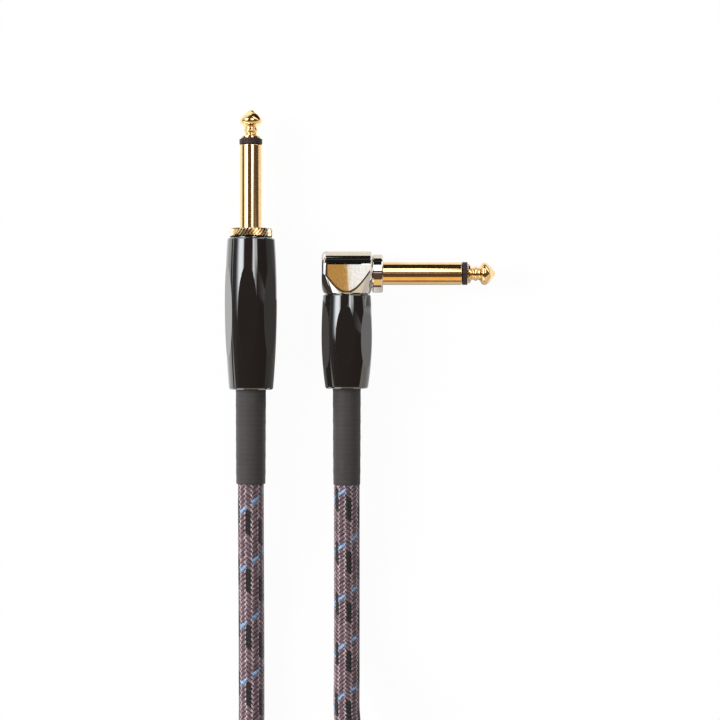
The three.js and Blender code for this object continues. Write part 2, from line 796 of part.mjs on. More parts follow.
const coilEnd = coilPoints.at(-1);
const coilHeading = coilEnd.clone().sub(coilPoints.at(-2)).normalize();
const angleStretch = stretch([
  [angleX, angleShoulderY + angle.end - faceGap, angleHeight],
  [angleX, -59, 6.7],
  [angleX, -66, 6.1],
  [angleX, -74, 5.0],
  [angleX, -82, 4.2],
  [angleX, -88, 4.0],
  [angleX, -94, 4.7],
  [angleX, -100, 6.3],
  [angleX, -106, 8.6],
  [-3.6, -114, 12.6],
  [-2.7, -121.3, 17.1],
  [-1.0, -128.6, 21.8],
  [1.6, -135.5, 26.7],
  [5.0, -142.1, 31.3],
  [9.3, -148.2, 35.4],
  [14.2, -153.8, 38.8],
  [19.7, -158.7, 41.1],
  coilEnd.clone().addScaledVector(coilHeading, faceGap + coilRunOut),
  coilEnd.clone().addScaledVector(coilHeading, faceGap),
]);
cable.add(named('cord_angle_end', angleStretch.geometry, woven()));

let coilLength = 0;
for (let i = 1; i < coilPoints.length; i++) coilLength += coilPoints[i].distanceTo(coilPoints[i - 1]);
const cordLength = straightStretch.length + coilLength + angleStretch.length;
console.log(`cord between the plugs: ${cordLength.toFixed(0)} mm`);

export default cable;
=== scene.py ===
"""An instrument cable with a straight plug and a right-angle plug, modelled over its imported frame.

Metres, in the frame's axes: +Z up, the plugs lie on Z = 0 and the cords run towards -Y.
"""

import math

import bpy
from bpy.props import (
    BoolProperty, FloatProperty, FloatVectorProperty, IntProperty, PointerProperty)
from bpy.types import Operator, Panel, PropertyGroup
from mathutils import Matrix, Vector

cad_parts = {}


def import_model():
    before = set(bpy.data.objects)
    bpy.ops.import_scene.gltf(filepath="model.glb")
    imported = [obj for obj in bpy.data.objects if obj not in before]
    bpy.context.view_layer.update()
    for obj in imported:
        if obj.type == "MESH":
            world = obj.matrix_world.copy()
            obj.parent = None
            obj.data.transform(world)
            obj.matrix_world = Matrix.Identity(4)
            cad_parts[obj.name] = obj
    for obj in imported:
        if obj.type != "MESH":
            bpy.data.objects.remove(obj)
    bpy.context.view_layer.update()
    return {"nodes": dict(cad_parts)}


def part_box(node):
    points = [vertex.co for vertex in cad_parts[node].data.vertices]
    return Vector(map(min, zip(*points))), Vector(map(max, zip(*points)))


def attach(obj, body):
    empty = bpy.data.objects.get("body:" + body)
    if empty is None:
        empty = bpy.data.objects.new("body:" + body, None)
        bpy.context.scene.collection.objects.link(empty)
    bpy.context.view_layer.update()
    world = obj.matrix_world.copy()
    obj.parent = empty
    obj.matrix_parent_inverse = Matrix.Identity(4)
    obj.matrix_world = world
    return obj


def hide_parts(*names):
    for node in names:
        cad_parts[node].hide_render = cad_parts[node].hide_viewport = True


bl_info = {
    "name": "Instrument cable",
    "version": (1, 0, 0),
    "blender": (4, 5, 0),
    "location": "View3D > Sidebar > Cable",
    "description": "Models the plugs, the woven cord and the studio of an instrument cable",
    "category": "Object",
}

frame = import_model()

MM = 0.001
UP = Vector((0, 0, 1))
FORWARD = Vector((0, 1, 0))
RIGHT = Vector((1, 0, 0))
ROOT = "plugs_and_cord"
PLUGS = ("straight", "angle")


# ---------- places taken from the frame ----------

def middle(node):
    low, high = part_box(node)
    return (low + high) / 2


def plug_origin(plug, reach):
    """The point on a plug's axis at its shoulder. The barrel starts a running gap behind it."""
    centre = middle(f"{plug}_liner")
    return Vector((centre.x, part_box(f"{plug}_barrel")[1].y + reach, centre.z))


RUN_GAP = 0.3 * MM
STRAIGHT = plug_origin("straight", RUN_GAP)
ANGLE = plug_origin("angle", RUN_GAP)
ANGLE_FINGER = middle("angle_finger_sleeve")


# ---------- settings ----------

def length(name, default, text):
    return FloatProperty(name=name, default=default * MM, description=text, unit="LENGTH", precision=5)


def colour(name, default, text):
    return FloatVectorProperty(
        name=name, default=default, description=text, subtype="COLOR", size=3, min=0, max=1)


class FingerSizes(PropertyGroup):
    radius: length("Radius", 3.175, "Radius of the shaft that goes into the jack")
    bore: length("Bore", 2.45, "Radius inside the gold sleeve")
    rod: length("Rod", 1.1, "Radius of the centre rod")
    ring: length("Ring", 1.45, "Length of the black insulating ring")
    gap: length("Gap", 0.2, "Clearance between stacked pieces")
    head: length("Head", 3.14, "Largest radius of the tip")


class BarrelSizes(PropertyGroup):
    long: length("Length", 42.28, "Length from the shoulder to the rear edge")
    front: length("Front", 6.6, "Outer radius at the front edge")
    belly: length("Belly", 7.22, "Largest outer radius")
    belly_at: length("Belly place", 17.4, "Distance of the belly behind the shoulder")
    rear: length("Rear", 6.14, "Outer radius at the rear edge")
    scallop_width: length("Scallop width", 5.2, "Width of a scallop at the belly")
    scallop_start: length("Scallop start", 8.2, "Where the scallops start behind the shoulder")
    scallop_end: length("Scallop end", 33.5, "Where the scallops end behind the shoulder")
    turn: FloatProperty(
        name="Turn", default=-5, description="Degrees that the scallops are turned from square")


class ElbowSizes(PropertyGroup):
    width: length("Width", 13.8, "Width along the finger")
    height: length("Height", 11.72, "Height over the shoulder")
    depth: length("Depth", 13.0, "Distance between the flat faces")
    crown: length("Crown", 6.1, "Radius of the rounded end")
    foot: length("Foot", 6.45, "Radius of the turned foot at the shoulder")
    slope: FloatProperty(name="Slope", default=0.47, description="Slope of the turned foot")


class CordSizes(PropertyGroup):
    radius: length("Radius", 3.6, "Radius over the woven jacket")
    long: length("Length", 3015, "Length between the plugs")
    carriers: IntProperty(name="Carriers", default=12, description="Yarn bundles in each direction")
    lay_straight: length("Lay at the straight plug", 16.05, "Length of one turn of a yarn bundle")
    lay_angle: length("Lay at the angle plug", 14.63, "Length of one turn of a yarn bundle")


class Colours(PropertyGroup):
    gold: colour("Gold plate", (0.95, 0.64, 0.27), "Plating of the fingers and the knurled collar")
    nickel: colour("Nickel plate", (0.80, 0.76, 0.70), "Plating of the elbow and its bushing")
    barrel: colour("Barrel", (0.007, 0.006, 0.005), "Gloss lacquer of the barrels")
    ring: colour("Insulator", (0.020, 0.013, 0.012), "Moulded insulating ring")
    shrink: colour("Shrink sleeve", (0.047, 0.042, 0.042), "Matte heat-shrink sleeve")
    yarn: colour("Yarn", (0.205, 0.128, 0.150), "Mauve yarn of the cord")
    dark_yarn: colour("Dark yarn", (0.018, 0.014, 0.016), "Black yarn of the cord")
    tracer: colour("Tracer", (0.04, 0.15, 0.42), "Blue yarn of the cord")


class StageSettings(PropertyGroup):
    view_width: length("View width", 200, "Width that the camera sees at the plugs' axis")
    centre_x: length("Centre X", 0.03, "Middle of the view")
    centre_y: length("Centre Y", -17.4, "Middle of the view")
    lens: FloatProperty(name="Lens", default=100, description="Focal length in millimetres")
    show_tent: BoolProperty(
        name="Tent", default=True, description="Light panels that only the glossy pieces reflect")


class CableSettings(PropertyGroup):
    finger: PointerProperty(type=FingerSizes)
    straight_barrel: PointerProperty(type=BarrelSizes)
    angle_barrel: PointerProperty(type=BarrelSizes)
    elbow: PointerProperty(type=ElbowSizes)
    cord: PointerProperty(type=CordSizes)
    colours: PointerProperty(type=Colours)
    stage: PointerProperty(type=StageSettings)


def settings():
    return bpy.context.scene.cable


# ---------- shader maths ----------

def maths_method(operation, swapped=False):
    """A method of Value that adds one Math node, with its terms swapped where the value stands last."""
    def method(self, *others):
        terms = (*others, self) if swapped else (self, *others)
        return self.maths(operation, *terms)
    return method


class Value:
    """A socket of a material, so that shader maths reads as plain Python."""

    def __init__(self, socket):
        self.socket = socket
        self.tree = socket.id_data

    def maths(self, operation, *terms):
        node = self.tree.nodes.new("ShaderNodeMath")
        node.operation = operation
        for socket, term in zip(node.inputs, terms):
            feed(socket, term)
        return Value(node.outputs[0])

    __add__ = maths_method("ADD")
    __radd__ = maths_method("ADD", swapped=True)
    __sub__ = maths_method("SUBTRACT")
    __rsub__ = maths_method("SUBTRACT", swapped=True)
    __mul__ = maths_method("MULTIPLY")
    __rmul__ = maths_method("MULTIPLY", swapped=True)
    __truediv__ = maths_method("DIVIDE")
    __rtruediv__ = maths_method("DIVIDE", swapped=True)
    __pow__ = maths_method("POWER")
    __mod__ = maths_method("FLOORED_MODULO")
    __lt__ = maths_method("LESS_THAN")
    __gt__ = maths_method("GREATER_THAN")
    floor = maths_method("FLOOR")
    fraction = maths_method("FRACT")
    sine = maths_method("SINE")
    absolute = maths_method("ABSOLUTE")
    at_least = maths_method("MAXIMUM")
    at_most = maths_method("MINIMUM")


def feed(socket, value):
    if isinstance(value, Value):
        socket.id_data.links.new(value.socket, socket)
    elif value is not None:
        socket.default_value = value


class Finish:
    """A material or world being put together from nodes."""

    def __init__(self, name, owner=None):
        self.owner = owner or bpy.data.materials.new(name)
        self.owner.use_nodes = True
        self.tree = self.owner.node_tree
        self.tree.nodes.clear()

    def node(self, kind, choices=None, inputs=None, output=0):
        """Adds a node, sets its choices, feeds its inputs by name or number, and gives one output."""
        node = self.tree.nodes.new(kind)
        for key, choice in (choices or {}).items():
            if key == "stops":
                stops(node.color_ramp, choice)
            else:
                setattr(node, key, choice)
        for key, value in (inputs or {}).items():
            feed(node.inputs[key], value)
        return Value(node.outputs[output])

    def place(self):
        return self.node("ShaderNodeTexCoord", output="Object")

    def axes(self, vector):
        parts = self.tree.nodes.new("ShaderNodeSeparateXYZ")
        feed(parts.inputs[0], vector)
        return [Value(out) for out in parts.outputs]

    def joined(self, x, y, z):
        return self.node("ShaderNodeCombineXYZ", inputs={0: x, 1: y, 2: z})

    def noise(self, scale, detail=2.0, roughness=0.5, stretch=None):
        place = self.place()
        if stretch:
            place = self.node("ShaderNodeMapping", inputs={"Vector": place, "Scale": stretch})
        return self.node("ShaderNodeTexNoise", inputs={
            "Vector": place, "Scale": scale, "Detail": detail, "Roughness": roughness})

    def ramp(self, value, *steps):
        return self.node("ShaderNodeValToRGB", {"stops": steps}, {0: value})

    def blend(self, factor, first, second):
        """A colour between two colours."""
        return self.node("ShaderNodeMix", {"data_type": "RGBA"}, {
            0: factor, 6: opaque(first), 7: opaque(second)}, output=2)

    def bump(self, height, distance, strength=1.0):
        return self.node("ShaderNodeBump", inputs={
            "Height": height, "Distance": distance, "Strength": strength})

    def surface(self, **inputs):
        """Closes the material with one Principled shader. Underscores stand for spaces."""
        shader = self.node("ShaderNodeBsdfPrincipled", inputs={
            key.replace("_", " "): opaque(value) if key.endswith(("Color", "Tint")) else value
            for key, value in inputs.items()})
        self.close(shader)
        return self.owner

    def close(self, shader):
        kind = "World" if isinstance(self.owner, bpy.types.World) else "Material"
        out = self.tree.nodes.new(f"ShaderNodeOutput{kind}")
        self.tree.links.new(shader.socket, out.inputs["Surface"])

    def seen(self):
        """One where a camera, glossy or transmission ray arrives, and nought for the rest of the light."""
        camera_ray, glossy_ray, through_ray = (
            self.node("ShaderNodeLightPath", output=f"Is {ray} Ray")
            for ray in ("Camera", "Glossy", "Transmission"))
        return camera_ray.at_least(glossy_ray).at_least(through_ray)


def opaque(value):
    return value if isinstance(value, Value) else (*value[:3], 1)


def scaled(tint, factor):
    return tuple(factor * c for c in tint)


def stops(ramp, steps):
    while len(ramp.elements) < len(steps):
        ramp.elements.new(0.5)
    for element, (place, shade) in zip(ramp.elements, steps):
        element.position = place
        element.color = (shade, shade, shade, 1) if isinstance(shade, (int, float)) else opaque(shade)


# ---------- finishes ----------

def gold_plate():
    """Bright gold plate with fine turning marks and a little unevenness."""
    gold = Finish("gold_plate")
    cloud = gold.noise(700, detail=2)
    grain = gold.noise(5200, detail=2)
    tint = tuple(settings().colours.gold)
    return gold.surface(
        Base_Color=gold.blend(gold.ramp(cloud, (0.35, 0), (0.7, 1)), tint, scaled(tint, 0.90)),
        Metallic=1.0,
        Roughness=0.06 + 0.07 * grain,
        Coat_Weight=0.8, Coat_Roughness=0.05, Coat_IOR=1.8,
        Normal=gold.bump(0.7 * cloud + 0.3 * grain, 0.004 * MM, 0.4))


def knurled_gold():
    """The gold of the knurled collar, paler on the teeth and darkened in the grooves by painted shade and
    dirt.
    """
    gold = Finish("knurled_gold")
    grain = gold.noise(2600, detail=3)
    x, _, z = gold.axes(gold.place())
    from_axis = ((x - STRAIGHT.x) ** 2 + (z - STRAIGHT.z) ** 2) ** 0.5 / MM
    # painted shade and dirt: the colour darkens towards the bottom of each groove
    tooth = gold.ramp(from_axis - (KNURL_RADIUS - KNURL_DEPTH), (0.05, 0), (0.16, 1))
    plating = gold.blend(gold.ramp(grain, (0.35, 0), (0.7, 1)), (1.0, 0.86, 0.60), (1.0, 0.76, 0.44))
    return gold.surface(
        # dark brown in the grooves: painted shade and dirt
        Base_Color=gold.blend(tooth, (0.40, 0.24, 0.09), plating),
        Metallic=1.0,
        Roughness=0.12 + 0.12 * grain,
        Coat_Weight=0.6, Coat_Roughness=0.15, Coat_IOR=1.8,
        Normal=gold.bump(grain, 0.01 * MM, 0.4))


def nickel_plate():
    """Polished nickel with hair scratches and a slight orange peel."""
    nickel = Finish("nickel_plate")
    peel = nickel.noise(300, detail=2, roughness=0.6)
    hair = nickel.noise(1500, stretch=(5.0, 0.35, 1.0), detail=3)
    cross = nickel.noise(1400, stretch=(0.4, 4.0, 1.0), detail=3)
    scratch = nickel.ramp(hair, (0.60, 0), (0.68, 1))
    nick = nickel.ramp(cross, (0.63, 0), (0.70, 1))
    worn = scratch.at_least(nick)
    cloud = nickel.noise(2300, detail=3, roughness=0.7, stretch=(1.0, 0.7, 1.0))
    mottle = nickel.ramp(cloud, (0.42, 0), (0.66, 1))
    tint = tuple(settings().colours.nickel)
    return nickel.surface(
        Base_Color=nickel.blend((0.55 * mottle + 0.45 * worn).at_most(1.0), tint, scaled(tint, 0.70)),
        Metallic=1.0,
        Roughness=0.012 + 0.01 * peel + 0.08 * worn,
        Normal=nickel.bump(peel - 0.10 * worn, 0.002 * MM, 0.05))


def black_lacquer():
    """Deep black gloss over a bare, slightly uneven metal shell."""
    black = Finish("black_gloss")
    peel = black.noise(260, detail=2)
    dust = black.ramp(black.noise(6500, detail=1), (0.70, 0), (0.76, 1))
    tint = tuple(settings().colours.barrel)
    return black.surface(
        Base_Color=black.blend(dust, tint, (0.035, 0.030, 0.030)),
        Roughness=0.05 + 0.04 * peel + 0.15 * dust,
        IOR=1.7,
        Coat_Weight=1.0, Coat_Roughness=0.025, Coat_IOR=1.7,
        Normal=black.bump(peel, 0.008 * MM, 0.4))


def moulded_black():
    """Satin black moulding of the insulating rings and washers."""
    black = Finish("black_plastic")
    grain = black.noise(4200, detail=3)
    tint = tuple(settings().colours.ring)
    return black.surface(
        Base_Color=black.blend(black.ramp(grain, (0.45, 0), (0.72, 1)), tint, scaled(tint, 5.5)),
        Roughness=0.42 + 0.2 * grain,
        Specular_IOR_Level=0.2,
        Normal=black.bump(grain, 0.012 * MM, 0.5))


def shrink_film():
    """Matte shrink sleeve with the weave under it showing faintly."""
    film = Finish("shrink_tube")
    _, y, _ = film.axes(film.place())
    wobble = film.noise(160, detail=2)
    rings = (y * (2 * math.pi / (1.34 * MM)) + 3.0 * wobble).sine() * 0.5 + 0.5
    weave = film.noise(1300, detail=3, stretch=(1.0, 2.2, 1.0))
    cloud = film.noise(120, detail=2)
    tint = tuple(settings().colours.shrink)
    return film.surface(
        Base_Color=film.blend(
            film.ramp(0.10 * rings + 0.55 * weave + 0.35 * cloud, (0.3, 0), (0.7, 1)),
            scaled(tint, 0.82), scaled(tint, 1.2)),
        Roughness=0.48 + 0.14 * weave,
        Specular_IOR_Level=0.3,
        Normal=film.bump(0.12 * rings + 0.6 * weave, 0.03 * MM, 0.5))


# how far the columns and the two ways of yarn lie off the map's own start, in bundles
COLUMN_PHASE, RISING_PHASE, FALLING_PHASE = 0.267, 2.5, 6.5
BLACK_BUNDLES, TRACER_WIDTH = 5, 1.2
FILAMENTS = 4


def weave_map(cloth, count):
    """Column, stitch and yarn numbers of the two-over-two braid, from the cord's own map."""
    u, v, _ = cloth.axes(cloth.node("ShaderNodeUVMap", {"uv_map": "Weave"}))
    column = u * count - COLUMN_PHASE
    rising = v * count - u * count - RISING_PHASE  # number of the yarn that runs to the right
    falling = v * count + u * count - FALLING_PHASE  # number of the yarn that runs to the left
    is_falling = (column.floor() % 2) > 0.5
    return column, rising, falling, is_falling


def woven_yarn():
    """Braid of mauve yarn with five black bundles one way and one blue tracer the other way."""
    cloth = Finish("woven_cord")
    count = settings().cord.carriers
    colours = settings().colours
    column, rising, falling, is_falling = weave_map(cloth, count)
    wear = cloth.noise(1100, detail=3)
    stray = (wear - 0.5) * 0.8  # how far a filament lies off its line
    number = is_falling * falling + (1 - is_falling) * rising
    across = number.fraction() - 0.5 + 0.25 * stray  # over the bundle's width
    along = column.fraction() - 0.5 + 0.4 * stray  # along the stitch
    # filaments lie along the bundle, so they vary across it
    strand = ((across + 0.10 * along + 0.2 * stray) * (2 * math.pi * FILAMENTS)).sine() * 0.5 + 0.5
    crown = 1 - 4 * across * across
    arch = 1 - 4 * along * along
    # the bundle stands proud where it comes up beside the next column and before it dives
    end = cloth.ramp(along.absolute(), (0.24, 0), (0.44, 1))
    knee = end * cloth.ramp(crown, (0.40, 0), (0.90, 1))
    height = (crown * 0.8 + arch * 0.30).at_most(1.1) * 0.8 + 0.45 * knee + 0.12 * strand * crown
    gap = cloth.ramp(crown + stray, (0.04, 0), (0.60, 1))
    black = (1 - is_falling) * ((rising.floor() % count) < BLACK_BUNDLES - 0.5)
    # the tracer also shows at the ends of the stitches that cross it
    reach = (is_falling + ((along.absolute() + 0.3 * stray) > 0.36)).at_most(1.0)
    blue = reach * (((falling + 0.08 + 0.5 * stray) % count) < TRACER_WIDTH)
    own = cloth.node("ShaderNodeTexWhiteNoise", {"noise_dimensions": "2D"}, {
        "Vector": cloth.joined(column.floor(), number.floor(), 0.0)})  # one value for each stitch
    patch = cloth.ramp(cloth.noise(1900, roughness=0.6), (0.40, 0), (0.62, 1))
    mauve = tuple(colours.yarn)
    yarn = cloth.blend(own * 0.4 + patch * 0.6, scaled(mauve, 0.30), scaled(mauve, 1.15))
    # painted highlight: pale pink glints on the raised knees of the stitches
    yarn = cloth.blend(knee * (0.45 + 0.55 * own) * (0.55 + 0.45 * patch), yarn, (0.86, 0.68, 0.72))
    # painted highlight: pale pink glints at one end of each black stitch
    edge = cloth.ramp(along, (0.26, 0), (0.42, 1)) * cloth.ramp(crown, (0.4, 0), (0.8, 1))
    dark = cloth.blend(edge * (0.3 + 0.7 * own), tuple(colours.dark_yarn), (0.75, 0.60, 0.62))
    yarn = cloth.blend(black, yarn, dark)
    sheen = cloth.ramp(0.5 * wear + 0.5 * strand, (0.3, 0), (0.68, 1))
    tracer = cloth.blend(sheen, tuple(colours.tracer), (0.50, 0.72, 0.92))
    yarn = cloth.blend(blue * (0.6 + 0.4 * patch), yarn, tracer)
    shadow = cloth.blend(gap, (0.05, 0.03, 0.035), (1, 1, 1))
    tinted = cloth.node("ShaderNodeMix", {"data_type": "RGBA", "blend_type": "MULTIPLY"}, {
        0: 1.0, 6: yarn, 7: shadow}, output=2)
    return cloth.surface(
        Base_Color=tinted,
        Roughness=0.40 + 0.2 * wear,
        Specular_IOR_Level=0.3,
        Normal=cloth.bump(height, 0.32 * MM, 0.9))


def clouded(slot, scale, dark, pale, rough, depth, strength=0.5, detail=3, **uniform):
    """A finish whose colour, roughness and bump, with a depth in millimetres, follow one noise."""
    paint = Finish(slot)
    cloud = paint.noise(scale, detail=detail)
    smoothest, spread = rough
    return paint.surface(
        Base_Color=paint.blend(cloud, dark, pale), Roughness=smoothest + spread * cloud,
        Normal=paint.bump(cloud, depth * MM, strength), **uniform)


def tinned_brass():
    """Dull tinned sheet of the solder lugs."""
    return clouded(
        "tinned_brass", 500, (0.42, 0.42, 0.42), (0.66, 0.65, 0.62), (0.28, 0.22), 0.02, detail=4,
        Metallic=1.0)


def copper_strands():
    """Bare copper, twisted in the shield's tail."""
    copper = Finish("copper")
    x, y, z = copper.axes(copper.place())
    twist = ((y * 2.0 + x * 3.0 + z * 3.0) * (2 * math.pi / (0.5 * MM))).sine() * 0.5 + 0.5
    cloud = copper.noise(800)
    return copper.surface(
        Base_Color=copper.blend(twist * 0.6 + cloud * 0.4, (0.50, 0.22, 0.11), (0.90, 0.50, 0.32)),
        Metallic=1.0, Roughness=0.30 + 0.15 * cloud, Normal=copper.bump(twist, 0.05 * MM, 0.6))


def liner_plastic():
    """Milky insulating liner."""
    return clouded(
        "liner_plastic", 300, (0.62, 0.61, 0.57), (0.76, 0.75, 0.71), (0.28, 0.12), 0.02, 0.3,
        Subsurface_Weight=0.15, Subsurface_Scale=0.001)


def jacket_rubber():
    """The cable's inner jacket."""
    return clouded("inner_jacket", 1500, (0.012, 0.012, 0.013), (0.030, 0.029, 0.030), (0.5, 0.2), 0.03)


def core_polymer():
    """The insulation of the centre wire."""
    return clouded(
        "core_insulation", 1200, (0.70, 0.66, 0.55), (0.80, 0.77, 0.68), (0.38, 0.15), 0.02, 0.4, detail=2)


FINISHES = {
    "gold_plate": gold_plate,
    "knurled_gold": knurled_gold,
    "nickel_plate": nickel_plate,
    "black_gloss": black_lacquer,
    "black_plastic": moulded_black,
    "shrink_tube": shrink_film,
    "woven_cord": woven_yarn,
    "tinned_brass": tinned_brass,
    "copper": copper_strands,
    "liner_plastic": liner_plastic,
    "inner_jacket": jacket_rubber,
    "core_insulation": core_polymer,
}


def finish(slot):
    """The material of a slot, made when first asked for."""
    name = f"cable_{slot}"
    if name not in bpy.data.materials:
        FINISHES[slot]().name = name
    return bpy.data.materials[name]


# ---------- modelling by hand ----------

def deselect():
    if bpy.context.mode != "OBJECT":
        bpy.ops.object.mode_set(mode="OBJECT")
    bpy.ops.object.select_all(action="DESELECT")


def pick(piece):
    deselect()
    piece.select_set(True)
    bpy.context.view_layer.objects.active = piece


def edit(piece):
    pick(piece)
    bpy.ops.object.mode_set(mode="EDIT")
    bpy.ops.mesh.select_all(action="DESELECT")


def choose(piece, test, kind):
    """In edit mode, selects the edges or vertices whose middle and direction pass a test."""
    bpy.ops.mesh.select_mode(type=kind)
    bpy.ops.mesh.select_all(action="DESELECT")
    bpy.ops.object.mode_set(mode="OBJECT")
    mesh = piece.data
    if kind == "EDGE":
        for line in mesh.edges:
            a, b = (mesh.vertices[i].co for i in line.vertices)
            line.select = test((a + b) / 2, (b - a).normalized())
    else:
        for point in mesh.vertices:
            point.select = test(point.co, point.normal)
    bpy.ops.object.mode_set(mode="EDIT")


def added(name):
    piece = bpy.context.object
    piece.name = piece.data.name = name
    return piece


def draw_outline(name, points):
    """An edge line drawn point by point: a plane is merged to its centre, moved and extruded."""
    deselect()
    bpy.ops.mesh.primitive_plane_add(size=MM)
    piece = added(name)
    bpy.ops.object.mode_set(mode="EDIT")
    bpy.ops.mesh.select_mode(type="VERT")
    bpy.ops.mesh.select_all(action="SELECT")
    bpy.ops.mesh.merge(type="CENTER")
    bpy.ops.transform.translate(value=points[0])
    for before, after in zip(points, points[1:]):
        bpy.ops.mesh.extrude_vertices_move(TRANSFORM_OT_translate={"value": after - before})
    bpy.ops.mesh.select_all(action="SELECT")
    bpy.ops.mesh.remove_doubles(threshold=1e-7)
    return piece


def closed_up(merge=None):
    """In edit mode, merges points nearer than a distance, turns all faces outward and goes back."""
    bpy.ops.mesh.select_all(action="SELECT")
    if merge:
        bpy.ops.mesh.remove_doubles(threshold=merge)
    bpy.ops.mesh.normals_make_consistent(inside=False)
    bpy.ops.object.mode_set(mode="OBJECT")


def turned(name, outline, origin, along=FORWARD, steps=96):
    """A piece turned on a lathe: an outline of (radius, distance) in millimetres, spun round its axis.

    An outline that keeps off the axis is closed on its own first point.
    """
    points = [origin + along * (distance * MM) + UP * (radius * MM) for radius, distance in outline]
    if outline[0][0] > 0 and outline[0] != outline[-1]:
        points.append(points[0].copy())
    piece = draw_outline(name, points)
    bpy.ops.mesh.spin(steps=steps, angle=2 * math.pi, center=origin, axis=along)
    closed_up(merge=2e-6)
    return piece


def modified(piece, kind, **choices):
    """Adds a modifier, sets it and applies it."""
    pick(piece)
    change = piece.modifiers.new(kind.title(), kind)
    for key, choice in choices.items():
        setattr(change, key, choice)
    bpy.ops.object.modifier_apply(modifier=change.name)
    return piece


def joined_with(piece, other, operation):
    """Cuts or joins a piece with another one, which is used up."""
    modified(piece, "BOOLEAN", operation=operation, solver="EXACT", object=other)
    bpy.data.objects.remove(other)
    return piece


def smoothed(piece, angle=32):
    """Smooth shading up to an angle, with the large faces kept true."""
    pick(piece)
    bpy.ops.object.shade_smooth_by_angle(angle=math.radians(angle))
    return modified(piece, "WEIGHTED_NORMAL", mode="FACE_AREA", weight=50, keep_sharp=True)


def placed(piece, body, slot, *nodes, look=None):
    """Gives a finished piece its material, its body and the nodes that it stands for."""
    piece.data.materials.clear()
    piece.data.materials.append(finish(look or slot))
    for face in piece.data.polygons:
        face.material_index = 0
    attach(piece, body)
    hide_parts(*nodes)


def flowing(points, per_span):
    """More points on a smooth line through the given (radius, distance) ones."""
    ends = [points[0], *points, points[-1]]
    line = []
    for a, b, c, d in zip(ends, ends[1:], ends[2:], ends[3:]):
        for i in range(per_span):
            t = i / per_span
            line.append(tuple(
                0.5 * (2 * b[k] + (c[k] - a[k]) * t + (2 * a[k] - 5 * b[k] + 4 * c[k] - d[k]) * t * t
                       + (3 * b[k] - a[k] - 3 * c[k] + d[k]) * t ** 3)
                for k in (0, 1)))
    line.append(points[-1])
    return line


def in_mm(value):
    return value / MM


# ---------- fingers ----------

def finger_start(plug):
    """Where a plug's finger stands out of the plug, and which way it runs."""
    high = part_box(f"{plug}_finger_sleeve")[1]
    if plug == "straight":
        return Vector((STRAIGHT.x, high.y, STRAIGHT.z)), FORWARD
    return Vector((high.x, ANGLE_FINGER.y, ANGLE_FINGER.z)), RIGHT


def sleeve(plug):
    """The gold sleeve: a bored tube with an eased front edge."""
    sizes = settings().finger
    front, along = finger_start(plug)
    low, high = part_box(f"{plug}_finger_sleeve")
    long = in_mm((high - low).dot(along))
    outer, bore = in_mm(sizes.radius), in_mm(sizes.bore)
    piece = turned(f"{plug}_gold_sleeve", [
        (bore, -long), (outer, -long), (outer, -0.22), (outer - 0.07, -0.07), (outer - 0.2, 0), (bore, 0),
    ], front, along)
    placed(smoothed(piece), ROOT, "gold_plate", f"{plug}_finger_sleeve")


def ring(plug):
    """The black ring with the tube behind it that keeps rod and sleeve apart."""
    sizes = settings().finger
    front, along = finger_start(plug)
    low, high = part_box(f"{plug}_tip_insulator")
    long = in_mm((high - low).dot(along))
    gap, wide = in_mm(sizes.gap), in_mm(sizes.ring)
    outer, bore, tube, edge = in_mm(sizes.radius), in_mm(sizes.rod) + gap, 2.15, 0.1
    piece = turned(f"{plug}_insulating_ring", [
        (bore, gap + wide - long), (tube, gap + wide - long), (tube, gap),
        (outer - edge, gap), (outer, gap + edge), (outer, gap + wide - edge), (outer - edge, gap + wide),
        (bore, gap + wide),
    ], front, along, steps=72)
    placed(smoothed(piece), ROOT, "black_plastic", f"{plug}_tip_insulator")


def tip_curve(head):
    """Radius and distance over the waist, bead, ball head and nose of a tip that is 7.9 mm long."""
    return flowing([
        (1.78, 1.15), (1.72, 1.5), (2.02, 2.0), (2.06, 2.3), (1.80, 2.85), (1.86, 3.25),
        (2.35, 3.62), (2.86, 3.98), (head, 4.55), (head - 0.02, 5.15), (2.72, 5.85), (2.10, 6.55),
        (1.42, 7.08), (1.02, 7.42), (0.72, 7.72), (0.34, 7.87),
    ], 4)


def tip(plug):
    """The tip contact: flange, waist with its bead, ball head and small nose, with the rod behind."""
    sizes = settings().finger
    front, along = finger_start(plug)
    low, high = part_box(f"{plug}_tip")
    start = in_mm(2 * sizes.gap + sizes.ring)
    long = in_mm(high.dot(along) - front.dot(along)) - start
    rear = start + long - in_mm((high - low).dot(along))
    rod, flange, stretch = in_mm(sizes.rod), 2.75, long / 7.9
    outline = [
        (0, rear), (rod - 0.1, rear), (rod, rear + 0.1), (rod, start), (flange - 0.1, start),
        (flange, start + 0.1), (flange, start + 0.48), (flange - 0.13, start + 0.62), (1.98, start + 0.86)]
    curve = tip_curve(in_mm(sizes.head))
    outline += [(radius, start + distance * stretch) for radius, distance in curve]
    outline.append((0, start + long))
    piece = turned(f"{plug}_tip_contact", outline, front, along, steps=72)
    placed(smoothed(piece, 38), ROOT, "gold_plate", f"{plug}_tip")


def fingers():
    for plug in PLUGS:
        sleeve(plug)
        ring(plug)
        tip(plug)


# ---------- barrels ----------

def barrel_radius(size, along):
    """The outside swells to the belly and falls again, as in the frame, in millimetres."""
    at, long = in_mm(size.belly_at), in_mm(size.long)
    belly = in_mm(size.belly)
    end, span = (in_mm(size.front), at) if along < at else (in_mm(size.rear), long - at)
    return belly - (belly - end) * ((along - at) / span) ** 2


